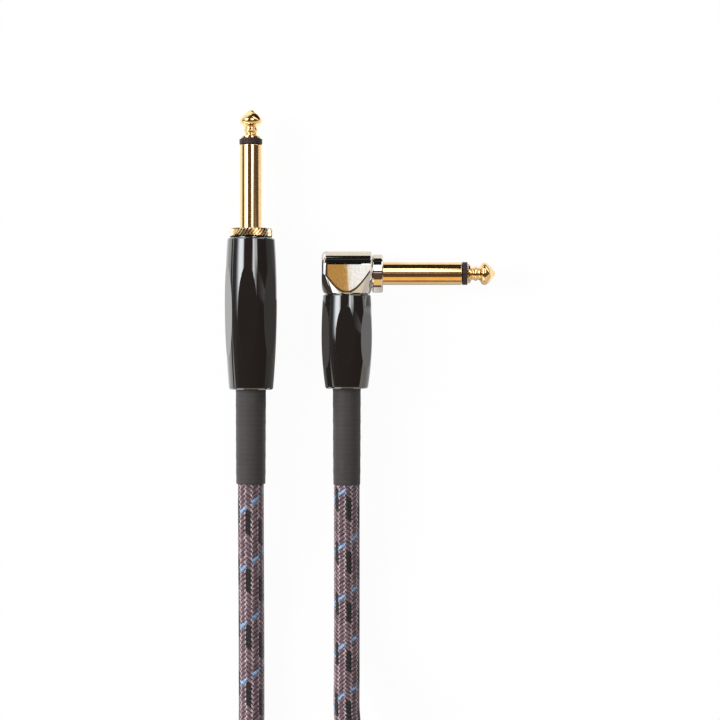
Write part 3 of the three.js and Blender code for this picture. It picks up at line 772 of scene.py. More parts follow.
def scallop_floor(size, along):
    start, end = in_mm(size.scallop_start), in_mm(size.scallop_end)
    ends = barrel_radius(size, start), barrel_radius(size, end)

    def chord(share):
        return ends[0] + (ends[1] - ends[0]) * share

    def arch(share):
        return 4 * share * (1 - share)

    belly_share = (in_mm(size.belly_at) - start) / (end - start)
    deepest = math.sqrt(in_mm(size.belly) ** 2 - (in_mm(size.scallop_width) / 2) ** 2)
    sink = (chord(belly_share) - deepest) / arch(belly_share)
    share = (along - start) / (end - start)
    return chord(share) - sink * arch(share)


SCALLOPS = 6


def scallop_cutters(size, origin):
    """Six cutters: a rectangle extruded along the scallop's arched floor, then spun as copies."""
    overrun, steps = 1.5, 40
    start, end = in_mm(size.scallop_start) - overrun, in_mm(size.scallop_end) + overrun
    width, tall = 2 * in_mm(size.scallop_width), 3.0
    floors = [scallop_floor(size, start + (end - start) * i / steps) for i in range(steps + 1)]
    deselect()
    bpy.ops.mesh.primitive_plane_add(size=1, rotation=(math.pi / 2, 0, 0))
    cutter = added("scallop_cutters")
    bpy.ops.object.transform_apply(location=False, rotation=True, scale=True)
    bpy.ops.object.mode_set(mode="EDIT")
    bpy.ops.transform.resize(value=(width * MM, 1, tall * MM))
    bpy.ops.transform.translate(value=origin + Vector((0, -start * MM, (floors[0] + tall / 2) * MM)))
    for before, after in zip(floors, floors[1:]):
        bpy.ops.mesh.extrude_region_move(TRANSFORM_OT_translate={
            "value": (0, -(end - start) / steps * MM, (after - before) * MM)})
    bpy.ops.mesh.select_all(action="SELECT")
    bpy.ops.mesh.normals_make_consistent(inside=False)
    bpy.ops.transform.rotate(
        value=math.radians(-size.turn), orient_axis="Y", center_override=origin)
    for _ in range(SCALLOPS - 1):
        bpy.ops.mesh.duplicate()
        bpy.ops.transform.rotate(
            value=2 * math.pi / SCALLOPS, orient_axis="Y", center_override=origin)
    bpy.ops.object.mode_set(mode="OBJECT")
    return cutter


def barrel(plug, size, origin):
    """A glossy barrel: a bellied shell with rings in its front bore, six scallops and a rolled rear edge."""
    long, rear, front = in_mm(size.long), in_mm(size.rear), in_mm(size.front)
    gap = 0.3  # the running gap before the front edge, which a thin lip fills
    bore, liner_seat, cable_hole, lip_bore = 5.5, 5.35, 4.55, 5.75
    bore_long, rear_wall = 6.0, 2.5
    lead, depth = 0.8, 0.16
    steps = 56
    first, last = long - 0.5, gap + 0.35
    outer = []
    for i in range(steps + 1):
        along = first + (last - first) * i / steps
        outer.append((barrel_radius(size, along), -along))
    thread = []
    for i in range(int(bore_long / lead)):
        y = -gap - 0.35 - lead * i
        thread += [(bore, y), (bore + depth, y - lead / 2)]
    outline = [
        (cable_hole, -long), (rear - 0.55, -long),
        (rear - 0.32, -long + 0.03), (rear - 0.10, -long + 0.18),
        *outer,
        (front - 0.06, -0.42), (front - 0.16, -0.33), (front - 0.32, -0.3),
        (front - 0.60, -0.28), (front - 0.62, -0.06), (lip_bore, -0.06),
        *thread,
        (bore, -6.3), (liner_seat, -6.5), (liner_seat, rear_wall - long), (cable_hole, rear_wall - long),
    ]
    piece = turned(f"{plug}_scalloped_barrel", outline, origin, steps=160)
    joined_with(piece, scallop_cutters(size, origin), "DIFFERENCE")
    placed(smoothed(piece, 14), f"{plug}_barrel", "black_gloss", f"{plug}_barrel")


def barrels():
    barrel("straight", settings().straight_barrel, STRAIGHT)
    barrel("angle", settings().angle_barrel, ANGLE)


# ---------- knurled collar ----------

# millimetres
KNURL_TEETH, KNURL_LONG = 38, 2.44
KNURL_RADIUS, KNURL_DEPTH, KNURL_RIM = 5.95, 0.42, 0.3
KNURL_TURN = math.radians(-15)
SLEEVE_SEAT = 3.375


def plain_neck(origin):
    """The neck behind a plug's shoulder, which the barrel screws on."""
    return turned("neck", [(0, -6), (4.9, -6), (5.2, -5.7), (5.2, 1.2), (0, 1.2)], origin, steps=72)


def collar():
    """The knurled ring in front of the straight plug's barrel, with its neck."""
    origin, radius, rows = STRAIGHT, KNURL_RADIUS, 6
    deselect()
    bpy.ops.mesh.primitive_circle_add(
        vertices=2 * KNURL_TEETH, radius=radius * MM, fill_type="NGON", location=origin,
        rotation=(math.pi / 2, 0, 0))
    piece = added("straight_knurled_ring")
    bpy.ops.object.transform_apply(location=True, rotation=True, scale=True)

    def in_groove(place, _):
        offset = place - origin
        return round(math.atan2(offset.x, offset.z) / (math.pi / KNURL_TEETH)) % 2 == 0

    def grow(factor):
        bpy.ops.transform.resize(value=(factor, 1, factor), center_override=origin)

    def rise(by, factor=1.0, twist=0.0):
        bpy.ops.mesh.extrude_region_move(TRANSFORM_OT_translate={"value": (0, by * MM, 0)})
        grow(factor)
        if twist:
            bpy.ops.transform.rotate(value=twist, orient_axis="Y", center_override=origin)

    # every second corner is drawn in to make the teeth, then the round is raised with a twist
    edit(piece)
    choose(piece, in_groove, "VERT")
    grow((radius - KNURL_DEPTH) / radius)
    bpy.ops.mesh.select_mode(type="FACE")
    bpy.ops.mesh.select_all(action="SELECT")
    drawn_in = (radius - KNURL_RIM) / radius
    grow(drawn_in)
    rise(KNURL_RIM, 1 / drawn_in)
    for _ in range(rows):
        rise((KNURL_LONG - 2 * KNURL_RIM) / rows, 1.0, KNURL_TURN / rows)
    rise(KNURL_RIM, drawn_in)
    closed_up()
    joined_with(piece, plain_neck(origin), "UNION")
    bore = turned("bore", [
        (0, -7), (2.65, -7), (2.65, -4.16), (SLEEVE_SEAT, -4.16), (SLEEVE_SEAT, 4), (0, 4)], origin)
    joined_with(piece, bore, "DIFFERENCE")
    placed(
        smoothed(piece, 24), ROOT, "gold_plate", "straight_knurled_collar", look="knurled_gold")


# ---------- elbow ----------

def elbow():
    """The elbow housing: a crowned block cut by a turned foot, on its neck."""
    size = settings().elbow
    half_width, half_depth = in_mm(size.width) / 2, in_mm(size.depth) / 2
    tall, crown = in_mm(size.height), in_mm(size.crown)
    foot, slope = in_mm(size.foot), size.slope
    origin = ANGLE
    # the side view's outline: up the flats, then from the crease round the crown
    crease, steps = math.radians(21), 20
    lift = tall - crown
    middle_z = half_depth - crown * math.cos(crease)
    turns = [crease + (math.pi / 2 - crease) * i / steps for i in range(steps + 1)]
    arc = [(middle_z + crown * math.cos(turn), lift + crown * math.sin(turn)) for turn in turns]
    side = [(half_depth, 0)] + arc + [(-z, y) for z, y in reversed(arc)] + [(-half_depth, 0)]
    points = [origin + Vector((-half_width, y, z)) * MM for z, y in side]
    points.append(points[0].copy())
    block = draw_outline("angle_elbow_housing", points)
    bpy.ops.mesh.edge_face_add()
    bpy.ops.mesh.extrude_region_move(TRANSFORM_OT_translate={"value": (2 * half_width * MM, 0, 0)})
    closed_up()

    # the far end's rim is broader than the one at the bushing
    edit(block)
    for end, width, segments in ((-half_width, 1.3, 7), (half_width, 0.45, 4)):
        face_x = origin.x + end * MM
        choose(block, lambda place, run: abs(place.x - face_x) < 1e-5 and abs(run.x) < 0.5, "EDGE")
        bpy.ops.mesh.bevel(offset=width * MM, segments=segments, profile=0.5)
    closed_up(merge=1e-6)

    crease_y = origin.y + (lift + crown * math.sin(crease)) * MM

    def on_seam(place, run):
        inside = abs(place.x - origin.x) < (half_width - 0.6) * MM and place.y < crease_y - 0.3 * MM
        return inside and abs(abs(place.z - origin.z) - half_depth * MM) < 2e-6 and abs(run.z) < 1e-3

    cone = turned("foot", [
        (0, 0), (foot - 0.06, 0), (foot, 0.06), (foot + slope * (tall + 1), tall + 1), (0, tall + 1),
    ], origin, steps=160)
    joined_with(block, cone, "INTERSECT")
    edit(block)
    choose(block, on_seam, "EDGE")
    bpy.ops.mesh.bevel(offset=0.38 * MM, segments=4, profile=0.5)
    bpy.ops.mesh.select_all(action="SELECT")
    bpy.ops.mesh.remove_doubles(threshold=1e-6)
    bpy.ops.object.mode_set(mode="OBJECT")
    joined_with(block, plain_neck(origin), "UNION")
    inside, roof = 4.5, tall - 2.3
    cavity = turned("cavity", [(0, -7), (inside, -7), (inside, roof), (0, roof)], origin, steps=72)
    joined_with(block, cavity, "DIFFERENCE")
    bushing_hole = 4.15
    finger_height = Vector((origin.x, ANGLE_FINGER.y, origin.z))
    hole = turned(
        "hole", [(0, 0), (bushing_hole, 0), (bushing_hole, 9), (0, 9)], finger_height, RIGHT, steps=72)
    joined_with(block, hole, "DIFFERENCE")
    placed(smoothed(block, 18), ROOT, "nickel_plate", "angle_elbow")


def bushing():
    """The bushing between elbow and finger, with eased edges."""
    low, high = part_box("angle_bushing")
    face = Vector((high.x, ANGLE_FINGER.y, ANGLE_FINGER.z))
    long = in_mm(high.x - low.x)
    collar_long = in_mm(high.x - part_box("angle_elbow")[1].x) - 0.2
    outer = in_mm(high.z - low.z) / 2
    spigot = 3.95
    piece = turned("angle_plug_bushing", [
        (SLEEVE_SEAT, -long), (spigot, -long), (spigot, -collar_long - 0.1), (4.6, -collar_long),
        (outer - 0.3, -collar_long), (outer - 0.1, 0.1 - collar_long), (outer, 0.3 - collar_long),
        (outer, -0.4), (outer - 0.1, -0.14), (outer - 0.32, 0), (SLEEVE_SEAT, 0),
    ], face, RIGHT)
    placed(smoothed(piece, 20), ROOT, "nickel_plate", "angle_bushing")


# ---------- shrink sleeves ----------

def shrink_sleeve(plug):
    """The heat-shrink sleeve: thin wall, drawn in a little at its rear end, where its lip curls."""
    low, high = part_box(f"{plug}_shrink_sleeve")
    origin = Vector(((low.x + high.x) / 2, high.y, (low.z + high.z) / 2))
    long = in_mm(high.y - low.y)
    bore, rear, rise = (3.8, 4.06, 0.16) if plug == "straight" else (3.62, 3.74, 0.18)
    outline = [(bore, -long), (rear - 0.10, -long), (rear - 0.03, -long + 0.12)]
    steps, lip = 60, 0.3
    for i in range(steps + 1):
        share = i / steps
        along = -long + lip + (long - 2 * lip) * share
        turns = along * 2 * math.pi
        ripple = 0.02 * math.sin(turns / 4.7) + 0.012 * math.sin(turns / 2.3 + 1)
        outline.append((rear + rise * share ** 0.7 + ripple, along))
    outline += [(rear + rise - 0.02, -0.1), (rear + rise - 0.12, 0), (bore, 0)]
    piece = turned(f"{plug}_heat_shrink", outline, origin, steps=72)
    placed(smoothed(piece), ROOT, "shrink_tube", f"{plug}_shrink_sleeve")


def shrink_sleeves():
    for plug in PLUGS:
        shrink_sleeve(plug)


# ---------- cord ----------

# millimetres
COIL_LOOPS = 11 + 16 / 24
COIL_LAYERS = 6
COIL_MEAN = 37.2  # radius of a layer's middle loop
COIL_PITCH = 7.8  # from loop to loop in a layer
COIL_LIFT = 7.7  # from layer to layer
COIL_START_X = -33.9
COIL_CENTRE_Y = -206
CORD_HEIGHT = 3.65
CORD_STEP = 1.2  # from ring to ring of the cord's mesh
BRAID_MATCH = 0.2376  # the part of a turn that brings the braid right at both plugs


def coil_point(loops, centre_x):
    """A place on the coil after some loops: in and out by turns, and up a layer at each end."""
    per_layer = COIL_LOOPS / COIL_LAYERS
    outer, inner = COIL_MEAN + COIL_PITCH * per_layer / 2, COIL_MEAN - COIL_PITCH * per_layer / 2
    layer = min(int(loops // per_layer), COIL_LAYERS - 1)
    within = loops - layer * per_layer
    radius = inner + COIL_PITCH * within if layer % 2 else outer - COIL_PITCH * within
    angle = math.pi + 2 * math.pi * loops
    height = CORD_HEIGHT
    for k in range(1, COIL_LAYERS):
        share = min(max((loops - k * per_layer + 0.25) / 0.5, 0), 1)
        height += COIL_LIFT * share * share * (3 - 2 * share)
    return Vector((centre_x + radius * math.cos(angle), COIL_CENTRE_Y + radius * math.sin(angle), height))


def through(points, spacing):
    """Points at about a spacing on a centripetal curve through the given ones, in millimetres."""
    points = [Vector(p) for p in points]
    ends = [2 * points[0] - points[1], *points, 2 * points[-1] - points[-2]]
    line = []
    for a, b, c, d in zip(ends, ends[1:], ends[2:], ends[3:]):
        k0, k1, k2 = ((q - p).length ** 0.5 for p, q in ((a, b), (b, c), (c, d)))
        m1 = ((b - a) / k0 - (c - a) / (k0 + k1) + (c - b) / k1) * k1
        m2 = ((c - b) / k1 - (d - b) / (k1 + k2) + (d - c) / k2) * k1
        count = max(1, round((c - b).length / spacing))
        for i in range(count):
            t = i / count
            line.append((2 * t ** 3 - 3 * t * t + 1) * b + (t ** 3 - 2 * t * t + t) * m1
                        + (3 * t * t - 2 * t ** 3) * c + (t ** 3 - t * t) * m2)
    line.append(points[-1])
    return line


def cord_route():
    """The cord's line from plug to plug, in millimetres: laid straight, coiled, and led back."""
    x, z, gap = in_mm(STRAIGHT.x), in_mm(STRAIGHT.z), 0.05
    end_y = in_mm(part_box("straight_shrink_sleeve")[0].y) - gap
    laid = [
        (x, end_y, z), (x, -59, 7.0), (x, -66, 6.7), (x, -74, 6.0), (x, -83, 5.0), (x, -93, 4.2),
        (x, -104, 3.8), (x, -117, CORD_HEIGHT), (-30.5, -130, CORD_HEIGHT),
        (-31.2, -145, CORD_HEIGHT), (-32.3, -160, CORD_HEIGHT), (-33.3, -175, CORD_HEIGHT),
        (-33.8, -187, CORD_HEIGHT), (COIL_START_X, COIL_CENTRE_Y + 7.5, CORD_HEIGHT),
    ]
    centre_x = COIL_START_X + COIL_MEAN + COIL_PITCH * COIL_LOOPS / COIL_LAYERS / 2
    steps = round(COIL_LOOPS * 96)
    coil = [coil_point(COIL_LOOPS * i / steps, centre_x) for i in range(steps + 1)]
    wound = (COIL_LOOPS * 2 + 1) * math.pi
    heading = Vector((-math.sin(wound), math.cos(wound), 0))
    coil.append(coil[-1] + heading * 7.2)
    a, h = in_mm(ANGLE.x), in_mm(ANGLE.z)
    back_y = in_mm(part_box("angle_shrink_sleeve")[0].y) - gap
    led = [
        (a, back_y, h), (a, -59, 6.7), (a, -66, 6.1), (a, -74, 5.0), (a, -82, 4.2), (a, -88, 4.0),
        (a, -94, 4.7), (a, -100, 6.3), (a, -106, 8.6), (-3.6, -114, 12.6), (-2.7, -121.3, 17.1),
        (-1.0, -128.6, 21.8), (1.6, -135.5, 26.7), (5.0, -142.1, 31.3), (9.3, -148.2, 35.4),
        (14.2, -153.8, 38.8), (19.7, -158.7, 41.1),
        coil[-1] + heading * 7.5, coil[-1] + heading * 0.3,
    ]
    return through(laid, CORD_STEP), coil, through(led, CORD_STEP)[::-1]


def lay_numbers(route, sizes):
    """How many turns a yarn bundle has made at each point, matched to both plugs."""
    first, coil, last = route
    points = first + coil + last
    runs = [0.0]
    for p, q in zip(points, points[1:]):
        runs.append(runs[-1] + (q - p).length)
    a, b = runs[len(first)], runs[len(first) + len(coil) - 1]
    slow, fast = 1 / in_mm(sizes.lay_straight), 1 / in_mm(sizes.lay_angle)
    lead_in, lead_out = a * slow, (runs[-1] - b) * fast
    middle_turns = (b - a) * (slow + fast) / 2
    whole = lead_in + middle_turns + lead_out
    extra = (BRAID_MATCH - whole) % 1
    if extra > 0.5:
        extra -= 1
    turns, rolls = [], []
    for run in runs:
        share = min(max((run - a) / (b - a), 0), 1)
        before, after = min(run, a) * slow, max(run - b, 0) * fast
        coil_turns = (b - a) * (slow * share + (fast - slow) * share * share / 2)
        turns.append(before + coil_turns + extra * share + after)
        rolls.append(share / 6)
    return points, turns, rolls


def woven_tube(name, points, turns, rolls, radius, sides):
    """A tube through the points with its ends closed, and a map that counts round it and along it."""
    places, faces, maps = [], [], []
    for i, point in enumerate(points):
        run = (points[min(i + 1, len(points) - 1)] - points[max(i - 1, 0)]).normalized()
        across = run.cross(UP).normalized()
        over = across.cross(run)
        for k in range(sides):
            angle = 2 * math.pi * (k + 0.5) / sides
            out = across * (radius * math.cos(angle))
            places.append((point + out + over * (radius * math.sin(angle))) * MM)
    for i in range(len(points) - 1):
        for k in range(sides):
            following = (k + 1) % sides
            faces.append((i * sides + k, i * sides + following,
                          (i + 1) * sides + following, (i + 1) * sides + k))
            for step, near in ((k, i), (k + 1, i), (k + 1, i + 1), (k, i + 1)):
                maps.append(((step + 0.5) / sides + rolls[near], turns[near]))
    last = (len(points) - 1) * sides
    faces.append(tuple(range(sides - 1, -1, -1)))
    maps += [(0.5, turns[0])] * sides
    faces.append(tuple(range(last, last + sides)))
    maps += [(0.5, turns[-1])] * sides
    mesh = bpy.data.meshes.new(name)
    mesh.from_pydata(places, [], faces)
    layer = mesh.uv_layers.new(name="Weave")
    for loop, place in zip(layer.data, maps):
        loop.uv = place
    mesh.validate()
    piece = bpy.data.objects.new(name, mesh)
    bpy.context.collection.objects.link(piece)
    edit(piece)
    closed_up()
    return piece


def cord():
    """The woven cord, one tube from plug to plug."""
    sizes = settings().cord
    points, turns, rolls = lay_numbers(cord_route(), sizes)
    piece = woven_tube("woven_cord", points, turns, rolls, in_mm(sizes.radius), sides=28)
    smoothed(piece, 40)
    placed(piece, ROOT, "woven_cord", "cord_straight_end", "cord_coil", "cord_angle_end")


# ---------- inner parts ----------

INNER = {
    "tinned_brass": ("tip_lug", "ground_lug"),
    "copper": ("centre_wire", "shield_tail"),
    "black_plastic": ("rear_washer",),
    "core_insulation": ("core",),
    "inner_jacket": ("cable_end",),
    "liner_plastic": ("liner",),
}


def dress_inner_parts():
    for slot, parts in INNER.items():
        for part in parts:
            for plug in PLUGS:
                node = frame["nodes"][f"{plug}_{part}"]
                node.data.materials.clear()
                node.data.materials.append(finish(slot))


# ---------- studio ----------

def camera():
    """Straight above the plugs, as wide as the picture is at the plugs' axis."""
    size = settings().stage
    data = bpy.data.cameras.new("camera")
    sensor, above_axis = 36, 7 * MM
    data.lens, data.sensor_width = size.lens, sensor
    data.clip_start, data.clip_end = 0.01, 20
    seat = bpy.data.objects.new("camera", data)
    seat.location = (size.centre_x, size.centre_y, size.view_width * size.lens / sensor + above_axis)
    bpy.context.collection.objects.link(seat)
    bpy.context.scene.camera = seat
    bpy.context.scene.view_settings.view_transform = "Standard"


def lamp(name, place, target, size, power):
    data = bpy.data.lights.new(name, "AREA")
    data.shape, data.size, data.energy = "SQUARE", size, power
    seat = bpy.data.objects.new(name, data)
    seat.location = place
    seat.rotation_mode = "QUATERNION"
    seat.rotation_quaternion = (Vector(target) - Vector(place)).to_track_quat("-Z", "Y")
    seat.visible_glossy = False
    bpy.context.collection.objects.link(seat)


FLOOR_GLOW = 0.955  # how much of the floor is plain white, the rest keeps the shadow


def floor():
    """A pale sweep of floor. It shows white, and keeps part of the object's shadow."""
    deselect()
    bpy.ops.mesh.primitive_grid_add(x_subdivisions=4, y_subdivisions=4, size=6)
    sweep = added("floor")
    paint = Finish("floor")
    lit = paint.node("ShaderNodeBsdfDiffuse", inputs={"Color": (0.95, 0.95, 0.95, 1)})
    glow = paint.node("ShaderNodeEmission", inputs={"Color": (1, 1, 1, 1), "Strength": 1.0})
    paint.close(paint.node("ShaderNodeMixShader", inputs={
        0: paint.seen() * FLOOR_GLOW, 1: lit, 2: glow}))
    sweep.data.materials.append(paint.owner)


def world():
    """White where it is seen, and a plain, weaker light on everything."""
    sky = Finish("world", bpy.context.scene.world or bpy.data.worlds.new("world"))
    bpy.context.scene.world = sky.owner
    plain, white = (
        sky.node("ShaderNodeBackground", inputs={"Color": (1, 1, 1, 1), "Strength": strength})
        for strength in (0.38, 1.0))
    sky.close(sky.node("ShaderNodeMixShader", inputs={0: sky.seen(), 1: plain, 2: white}))


class LightPanel:
    """A patch of light between two pairs of edges, mixed over what lies under it."""

    def __init__(self, right, away, soft, level, tint, soft_away=None):
        self.right, self.away = right, away
        self.soft, self.soft_away = soft, soft_away or soft
        self.level, self.tint = level, tint


WHITE = (1, 1, 1)
WARM_WHITE, COOL_WHITE, LILAC_WHITE = (1.0, 0.86, 0.65), (0.94, 0.98, 1.0), (0.96, 0.95, 1.0)
BROWN, SOOT, ORANGE = (1.0, 0.58, 0.37), (1.0, 0.76, 0.70), (1.0, 0.66, 0.24)

# edges in degrees from straight up, to the right and away from the front
TENT = (
    # brown bands of the straight and the angle finger, and the straight one's right edge
    LightPanel((-22, 9), (2.9, 8.0), 2, 0.13, BROWN),
    LightPanel((0.42, 4.5), (-33, 95), 0.1, 0.12, BROWN),
    LightPanel((55, 300), (2.8, 7.8), 50, 0.64, (0.92, 0.94, 1.0), 1.0),
    # the far left, and the warm front that the elbow's foot shows
    LightPanel((-300, -65), (-300, 300), 8, 0.13, (0.95, 0.96, 1.0)),
    LightPanel((-300, 300), (-300, -40), 4, 0.9, WARM_WHITE),
    # the flanks of the knurl's teeth
    LightPanel((-88, -40), (-88, -55), 4, 1.8, COOL_WHITE),
    LightPanel((40, 88), (50, 84), 4, 1.6, COOL_WHITE),
    LightPanel((-92, -66), (62, 90), 4, 1.2, COOL_WHITE),
    # the orange glint under the elbow's seam
    LightPanel((0.46, 12), (-80, -40), 0.2, 1.0, ORANGE, 4),
    # the black band on the elbow's crown, with a grey line in it
    LightPanel((-2.2, 0.9), (30, 60), 0.2, 0.012, BROWN),
    LightPanel((-8.5, 12), (56, 81), 2, 0.014, (0.8, 0.9, 1.0)),
    LightPanel((-34, 60), (80, 95), 2, 0.014, (0.8, 0.9, 1.0)),
    LightPanel((-8.5, 12), (74, 79), 1.5, 0.06, WHITE),
    # strips of light to the left and to the right, for the barrels and the straight finger
    LightPanel((-66, -31), (1.5, 55), 7, 1.0, (0.86, 0.94, 1.0)),
    LightPanel((-60, -31), (1.5, 55), 6, 3.0, (0.90, 0.96, 1.0)),
    LightPanel((-54, -33), (1.5, 55), 9, 6.0, COOL_WHITE),
    LightPanel((-52, -24), (2.05, 3.7), 4, 1.1, LILAC_WHITE, 0.5),
    LightPanel((8, 27), (1.5, 9), 3, 1.7, COOL_WHITE),
    LightPanel((12, 32), (8, 48), 3, 2.8, COOL_WHITE),
    LightPanel((12, 19), (5, 48), 3, 4.8, COOL_WHITE),
    # the bright band of the angle finger and its bushing
    LightPanel((0.40, 4.2), (14.5, 50), 0.04, 3.0, COOL_WHITE, 0.2),
    # the flat of the elbow: orange to the left, white to the right
    LightPanel((-1.8, -0.34), (1.2, 3.9), 0.06, 0.60, (1.0, 0.53, 0.13)),
    LightPanel((-0.37, -0.31), (1.2, 3.9), 0.03, 1.4, (1.0, 0.95, 0.80)),
    LightPanel((-0.30, 3.4), (1.2, 3.9), 0.04, 1.22, (0.97, 0.985, 1.0)),
)

# edges in millimetres on the table: to the right of the angle plug, to the left, behind, and by the card;
# the dim patches by the angle finger and between the plugs are painted shade of the floor
TABLE = (
    LightPanel((2, 3000), (-3000, 3000), 6, 1.1, WHITE),
    LightPanel((4, 3000), (-3000, -4), 3, 0.65, (1, 0.96, 0.95)),
    # painted shade: the floor that the elbow's bushing and finger shade
    LightPanel((0, 40), (-3, 3), 3, 0.30, (1, 0.96, 0.95)),
    LightPanel((-3000, -105), (-3000, 3000), 14, 0.10, (1, 0.95, 0.9)),
    LightPanel((-14, 12), (12, 57), 3, 0.98, (1.0, 0.95, 0.86)),
    LightPanel((-26, 3000), (57, 3000), 4, 0.02, BROWN),
    # painted shade: the floor between the plugs
    LightPanel((-27, -9), (-32, 0), 1.5, 0.20, (1.0, 0.92, 0.88)),
    LightPanel((-26, -9), (0, 18), 1.0, 0.72, LILAC_WHITE),
)


def lit_by(glow, right, away, level, tint, panels):
    """An emission of a level and tint, with a list of panels mixed over it."""
    for panel in panels:
        mask = between(glow, right, *panel.right, panel.soft)
        mask = mask * between(glow, away, *panel.away, panel.soft_away)
        level = level + (panel.level - level) * mask
        tint = glow.blend(mask, tint, panel.tint)
    return glow.node("ShaderNodeEmission", inputs={"Color": tint, "Strength": level})


def between(glow, value, low, high, soft):
    """One between two edges and nought beyond them, with soft edges."""
    def slope(start, end):
        return glow.node("ShaderNodeMapRange", inputs={0: value, 1: start, 2: end, 3: 0.0, 4: 1.0})

    return slope(low - soft / 2, low + soft / 2) * slope(high + soft / 2, high - soft / 2)


def only_reflected(piece):
    piece.visible_camera = piece.visible_diffuse = piece.visible_shadow = False
    piece.visible_transmission = piece.visible_volume_scatter = False


def tent():
    """A dome of light panels over the object, seen only in reflections."""
    deselect()
    bpy.ops.mesh.primitive_uv_sphere_add(segments=64, ring_count=32, radius=3.0)
    dome = added("light_tent")
    edit(dome)
    choose(dome, lambda place, _: place.z < -0.01, "VERT")
    bpy.ops.mesh.delete(type="VERT")
    bpy.ops.mesh.select_all(action="SELECT")
    bpy.ops.mesh.flip_normals()
    bpy.ops.object.mode_set(mode="OBJECT")
    glow = Finish("light_tent")
    x, y, z = glow.axes(glow.place())
    height = z.at_least(0.02)
    right, away = (side.maths("ARCTAN2", side, height) * (180 / math.pi) for side in (x, y))
    glow.close(lit_by(glow, right, away, 0.095, SOOT, TENT))
    dome.data.materials.append(glow.owner)
    only_reflected(dome)


def light_table():
    """A lit sheet on the floor, seen only in reflections."""
    deselect()
    bpy.ops.mesh.primitive_grid_add(
        x_subdivisions=4, y_subdivisions=4, size=5.8, location=(0, 0, 0.03 * MM))
    sheet = added("light_table")
    bpy.ops.object.transform_apply(location=True)
    glow = Finish("light_table")
    x, y, _ = glow.axes(glow.place())
    glow.close(lit_by(glow, x / MM, y / MM, 1.25, WHITE, TABLE))
    sheet.data.materials.append(glow.owner)
    only_reflected(sheet)


def black_card():
    """A card that stands between the plugs and keeps each out of the other's reflections. Seen only in
    reflections, its dim face is painted shade of the floor between them.
    """
    deselect()
    bpy.ops.mesh.primitive_grid_add(
        x_subdivisions=2, y_subdivisions=4, size=1, location=(-20 * MM, -5.5 * MM, 8 * MM),
        rotation=(0, math.pi / 2, 0))
    card = added("black_card")
    card.scale = (10 * MM, 45 * MM, 1)
    bpy.ops.object.transform_apply(location=True, rotation=True, scale=True)
    matte = Finish("black_card")
    back = matte.node("ShaderNodeNewGeometry", output="Backfacing")
    matte.close(matte.node("ShaderNodeEmission", inputs={
        "Color": (1.0, 0.92, 0.88, 1), "Strength": 0.05 + 0.15 * back}))
    card.data.materials.append(matte.owner)
    only_reflected(card)


def reflected_panels():
    if settings().stage.show_tent:
        tent()
        light_table()
        black_card()


def lamps():
    lamp("key", (-1.25, 0.2, 0.80), (0, 0, 0), 0.7, 26)
    lamp("fill", (0.9, -0.3, 1.1), (0, 0, 0), 0.9, 3)


# ---------- operators ----------

class MakeStage(Operator):
    """Sets up the camera, the lamps, the floor and the reflected light panels"""
    bl_idname = "cable.make_stage"
    bl_label = "Studio"

    def execute(self, context):
        camera()
        world()
        floor()
        reflected_panels()
        lamps()
        return {"FINISHED"}


class MakeCord(Operator):
    """Lays and winds the woven cord"""
    bl_idname = "cable.make_cord"
    bl_label = "Woven cord"

    def execute(self, context):
        cord()
        return {"FINISHED"}


class MakeFingers(Operator):
    """Turns the sleeves, rings and tips of both fingers"""
    bl_idname = "cable.make_fingers"
    bl_label = "Fingers"

    def execute(self, context):
        fingers()
        return {"FINISHED"}


class MakeCollar(Operator):
    """Models the knurled collar of the straight plug"""
    bl_idname = "cable.make_collar"
    bl_label = "Knurled collar"

    def execute(self, context):
        collar()
        return {"FINISHED"}


class MakeElbow(Operator):
    """Models the elbow housing and its bushing"""
    bl_idname = "cable.make_elbow"
    bl_label = "Elbow and bushing"

    def execute(self, context):
        elbow()
        bushing()
        return {"FINISHED"}


class MakeBarrels(Operator):
    """Turns the two barrels and cuts their scallops"""
    bl_idname = "cable.make_barrels"
    bl_label = "Barrels"

    def execute(self, context):
        barrels()
        return {"FINISHED"}


class MakeShrinkSleeves(Operator):
    """Models the heat-shrink sleeves behind the barrels"""
    bl_idname = "cable.make_shrink_sleeves"
    bl_label = "Shrink sleeves"

    def execute(self, context):
        shrink_sleeves()
        return {"FINISHED"}


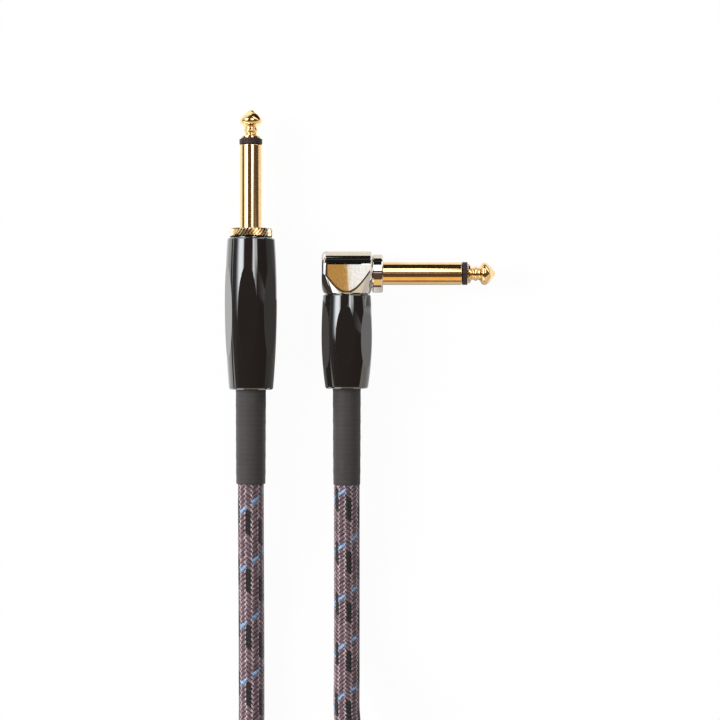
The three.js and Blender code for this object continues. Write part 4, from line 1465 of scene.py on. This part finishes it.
class DressInnerParts(Operator):
    """Gives the lugs, wires, washers and liners their finishes"""
    bl_idname = "cable.dress_inner_parts"
    bl_label = "Inner parts"

    def execute(self, context):
        dress_inner_parts()
        return {"FINISHED"}


STEPS = (
    MakeStage, MakeCord, MakeFingers, MakeCollar, MakeElbow, MakeBarrels, MakeShrinkSleeves,
    DressInnerParts)


class CablePanel(Panel):
    """Lists the settings and the steps"""
    bl_idname = "VIEW3D_PT_cable"
    bl_label = "Instrument cable"
    bl_space_type = "VIEW_3D"
    bl_region_type = "UI"
    bl_category = "Cable"

    def draw(self, context):
        layout = self.layout
        for step in STEPS:
            layout.operator(step.bl_idname)
        for group in CableSettings.__annotations__:
            box = layout.box()
            box.label(text=group.replace("_", " ").title())
            values = getattr(context.scene.cable, group)
            for name in type(values).__annotations__:
                box.prop(values, name)


GROUPS = (FingerSizes, BarrelSizes, ElbowSizes, CordSizes, Colours, StageSettings, CableSettings)


# where the angle plug's barrel differs from the straight one's
ANGLE_BARREL = {
    "long": 26.39 * MM, "front": 6.57 * MM, "belly": 7.03 * MM, "belly_at": 11.8 * MM,
    "rear": 5.9 * MM, "scallop_width": 5.4 * MM, "scallop_start": 3.2 * MM, "scallop_end": 21 * MM,
    "turn": -3,
}


def register():
    for kind in (*GROUPS, *STEPS, CablePanel):
        bpy.utils.register_class(kind)
    bpy.types.Scene.cable = PointerProperty(type=CableSettings)
    for name, value in ANGLE_BARREL.items():
        setattr(bpy.context.scene.cable.angle_barrel, name, value)


def unregister():
    del bpy.types.Scene.cable
    for kind in reversed((*GROUPS, *STEPS, CablePanel)):
        bpy.utils.unregister_class(kind)


def main():
    register()
    bpy.ops.cable.make_stage()
    bpy.ops.cable.make_cord()
    bpy.ops.cable.make_fingers()
    bpy.ops.cable.make_collar()
    bpy.ops.cable.make_elbow()
    bpy.ops.cable.make_barrels()
    bpy.ops.cable.make_shrink_sleeves()
    bpy.ops.cable.dress_inner_parts()
    bpy.context.view_layer.update()


if __name__ == "__main__":
    main()
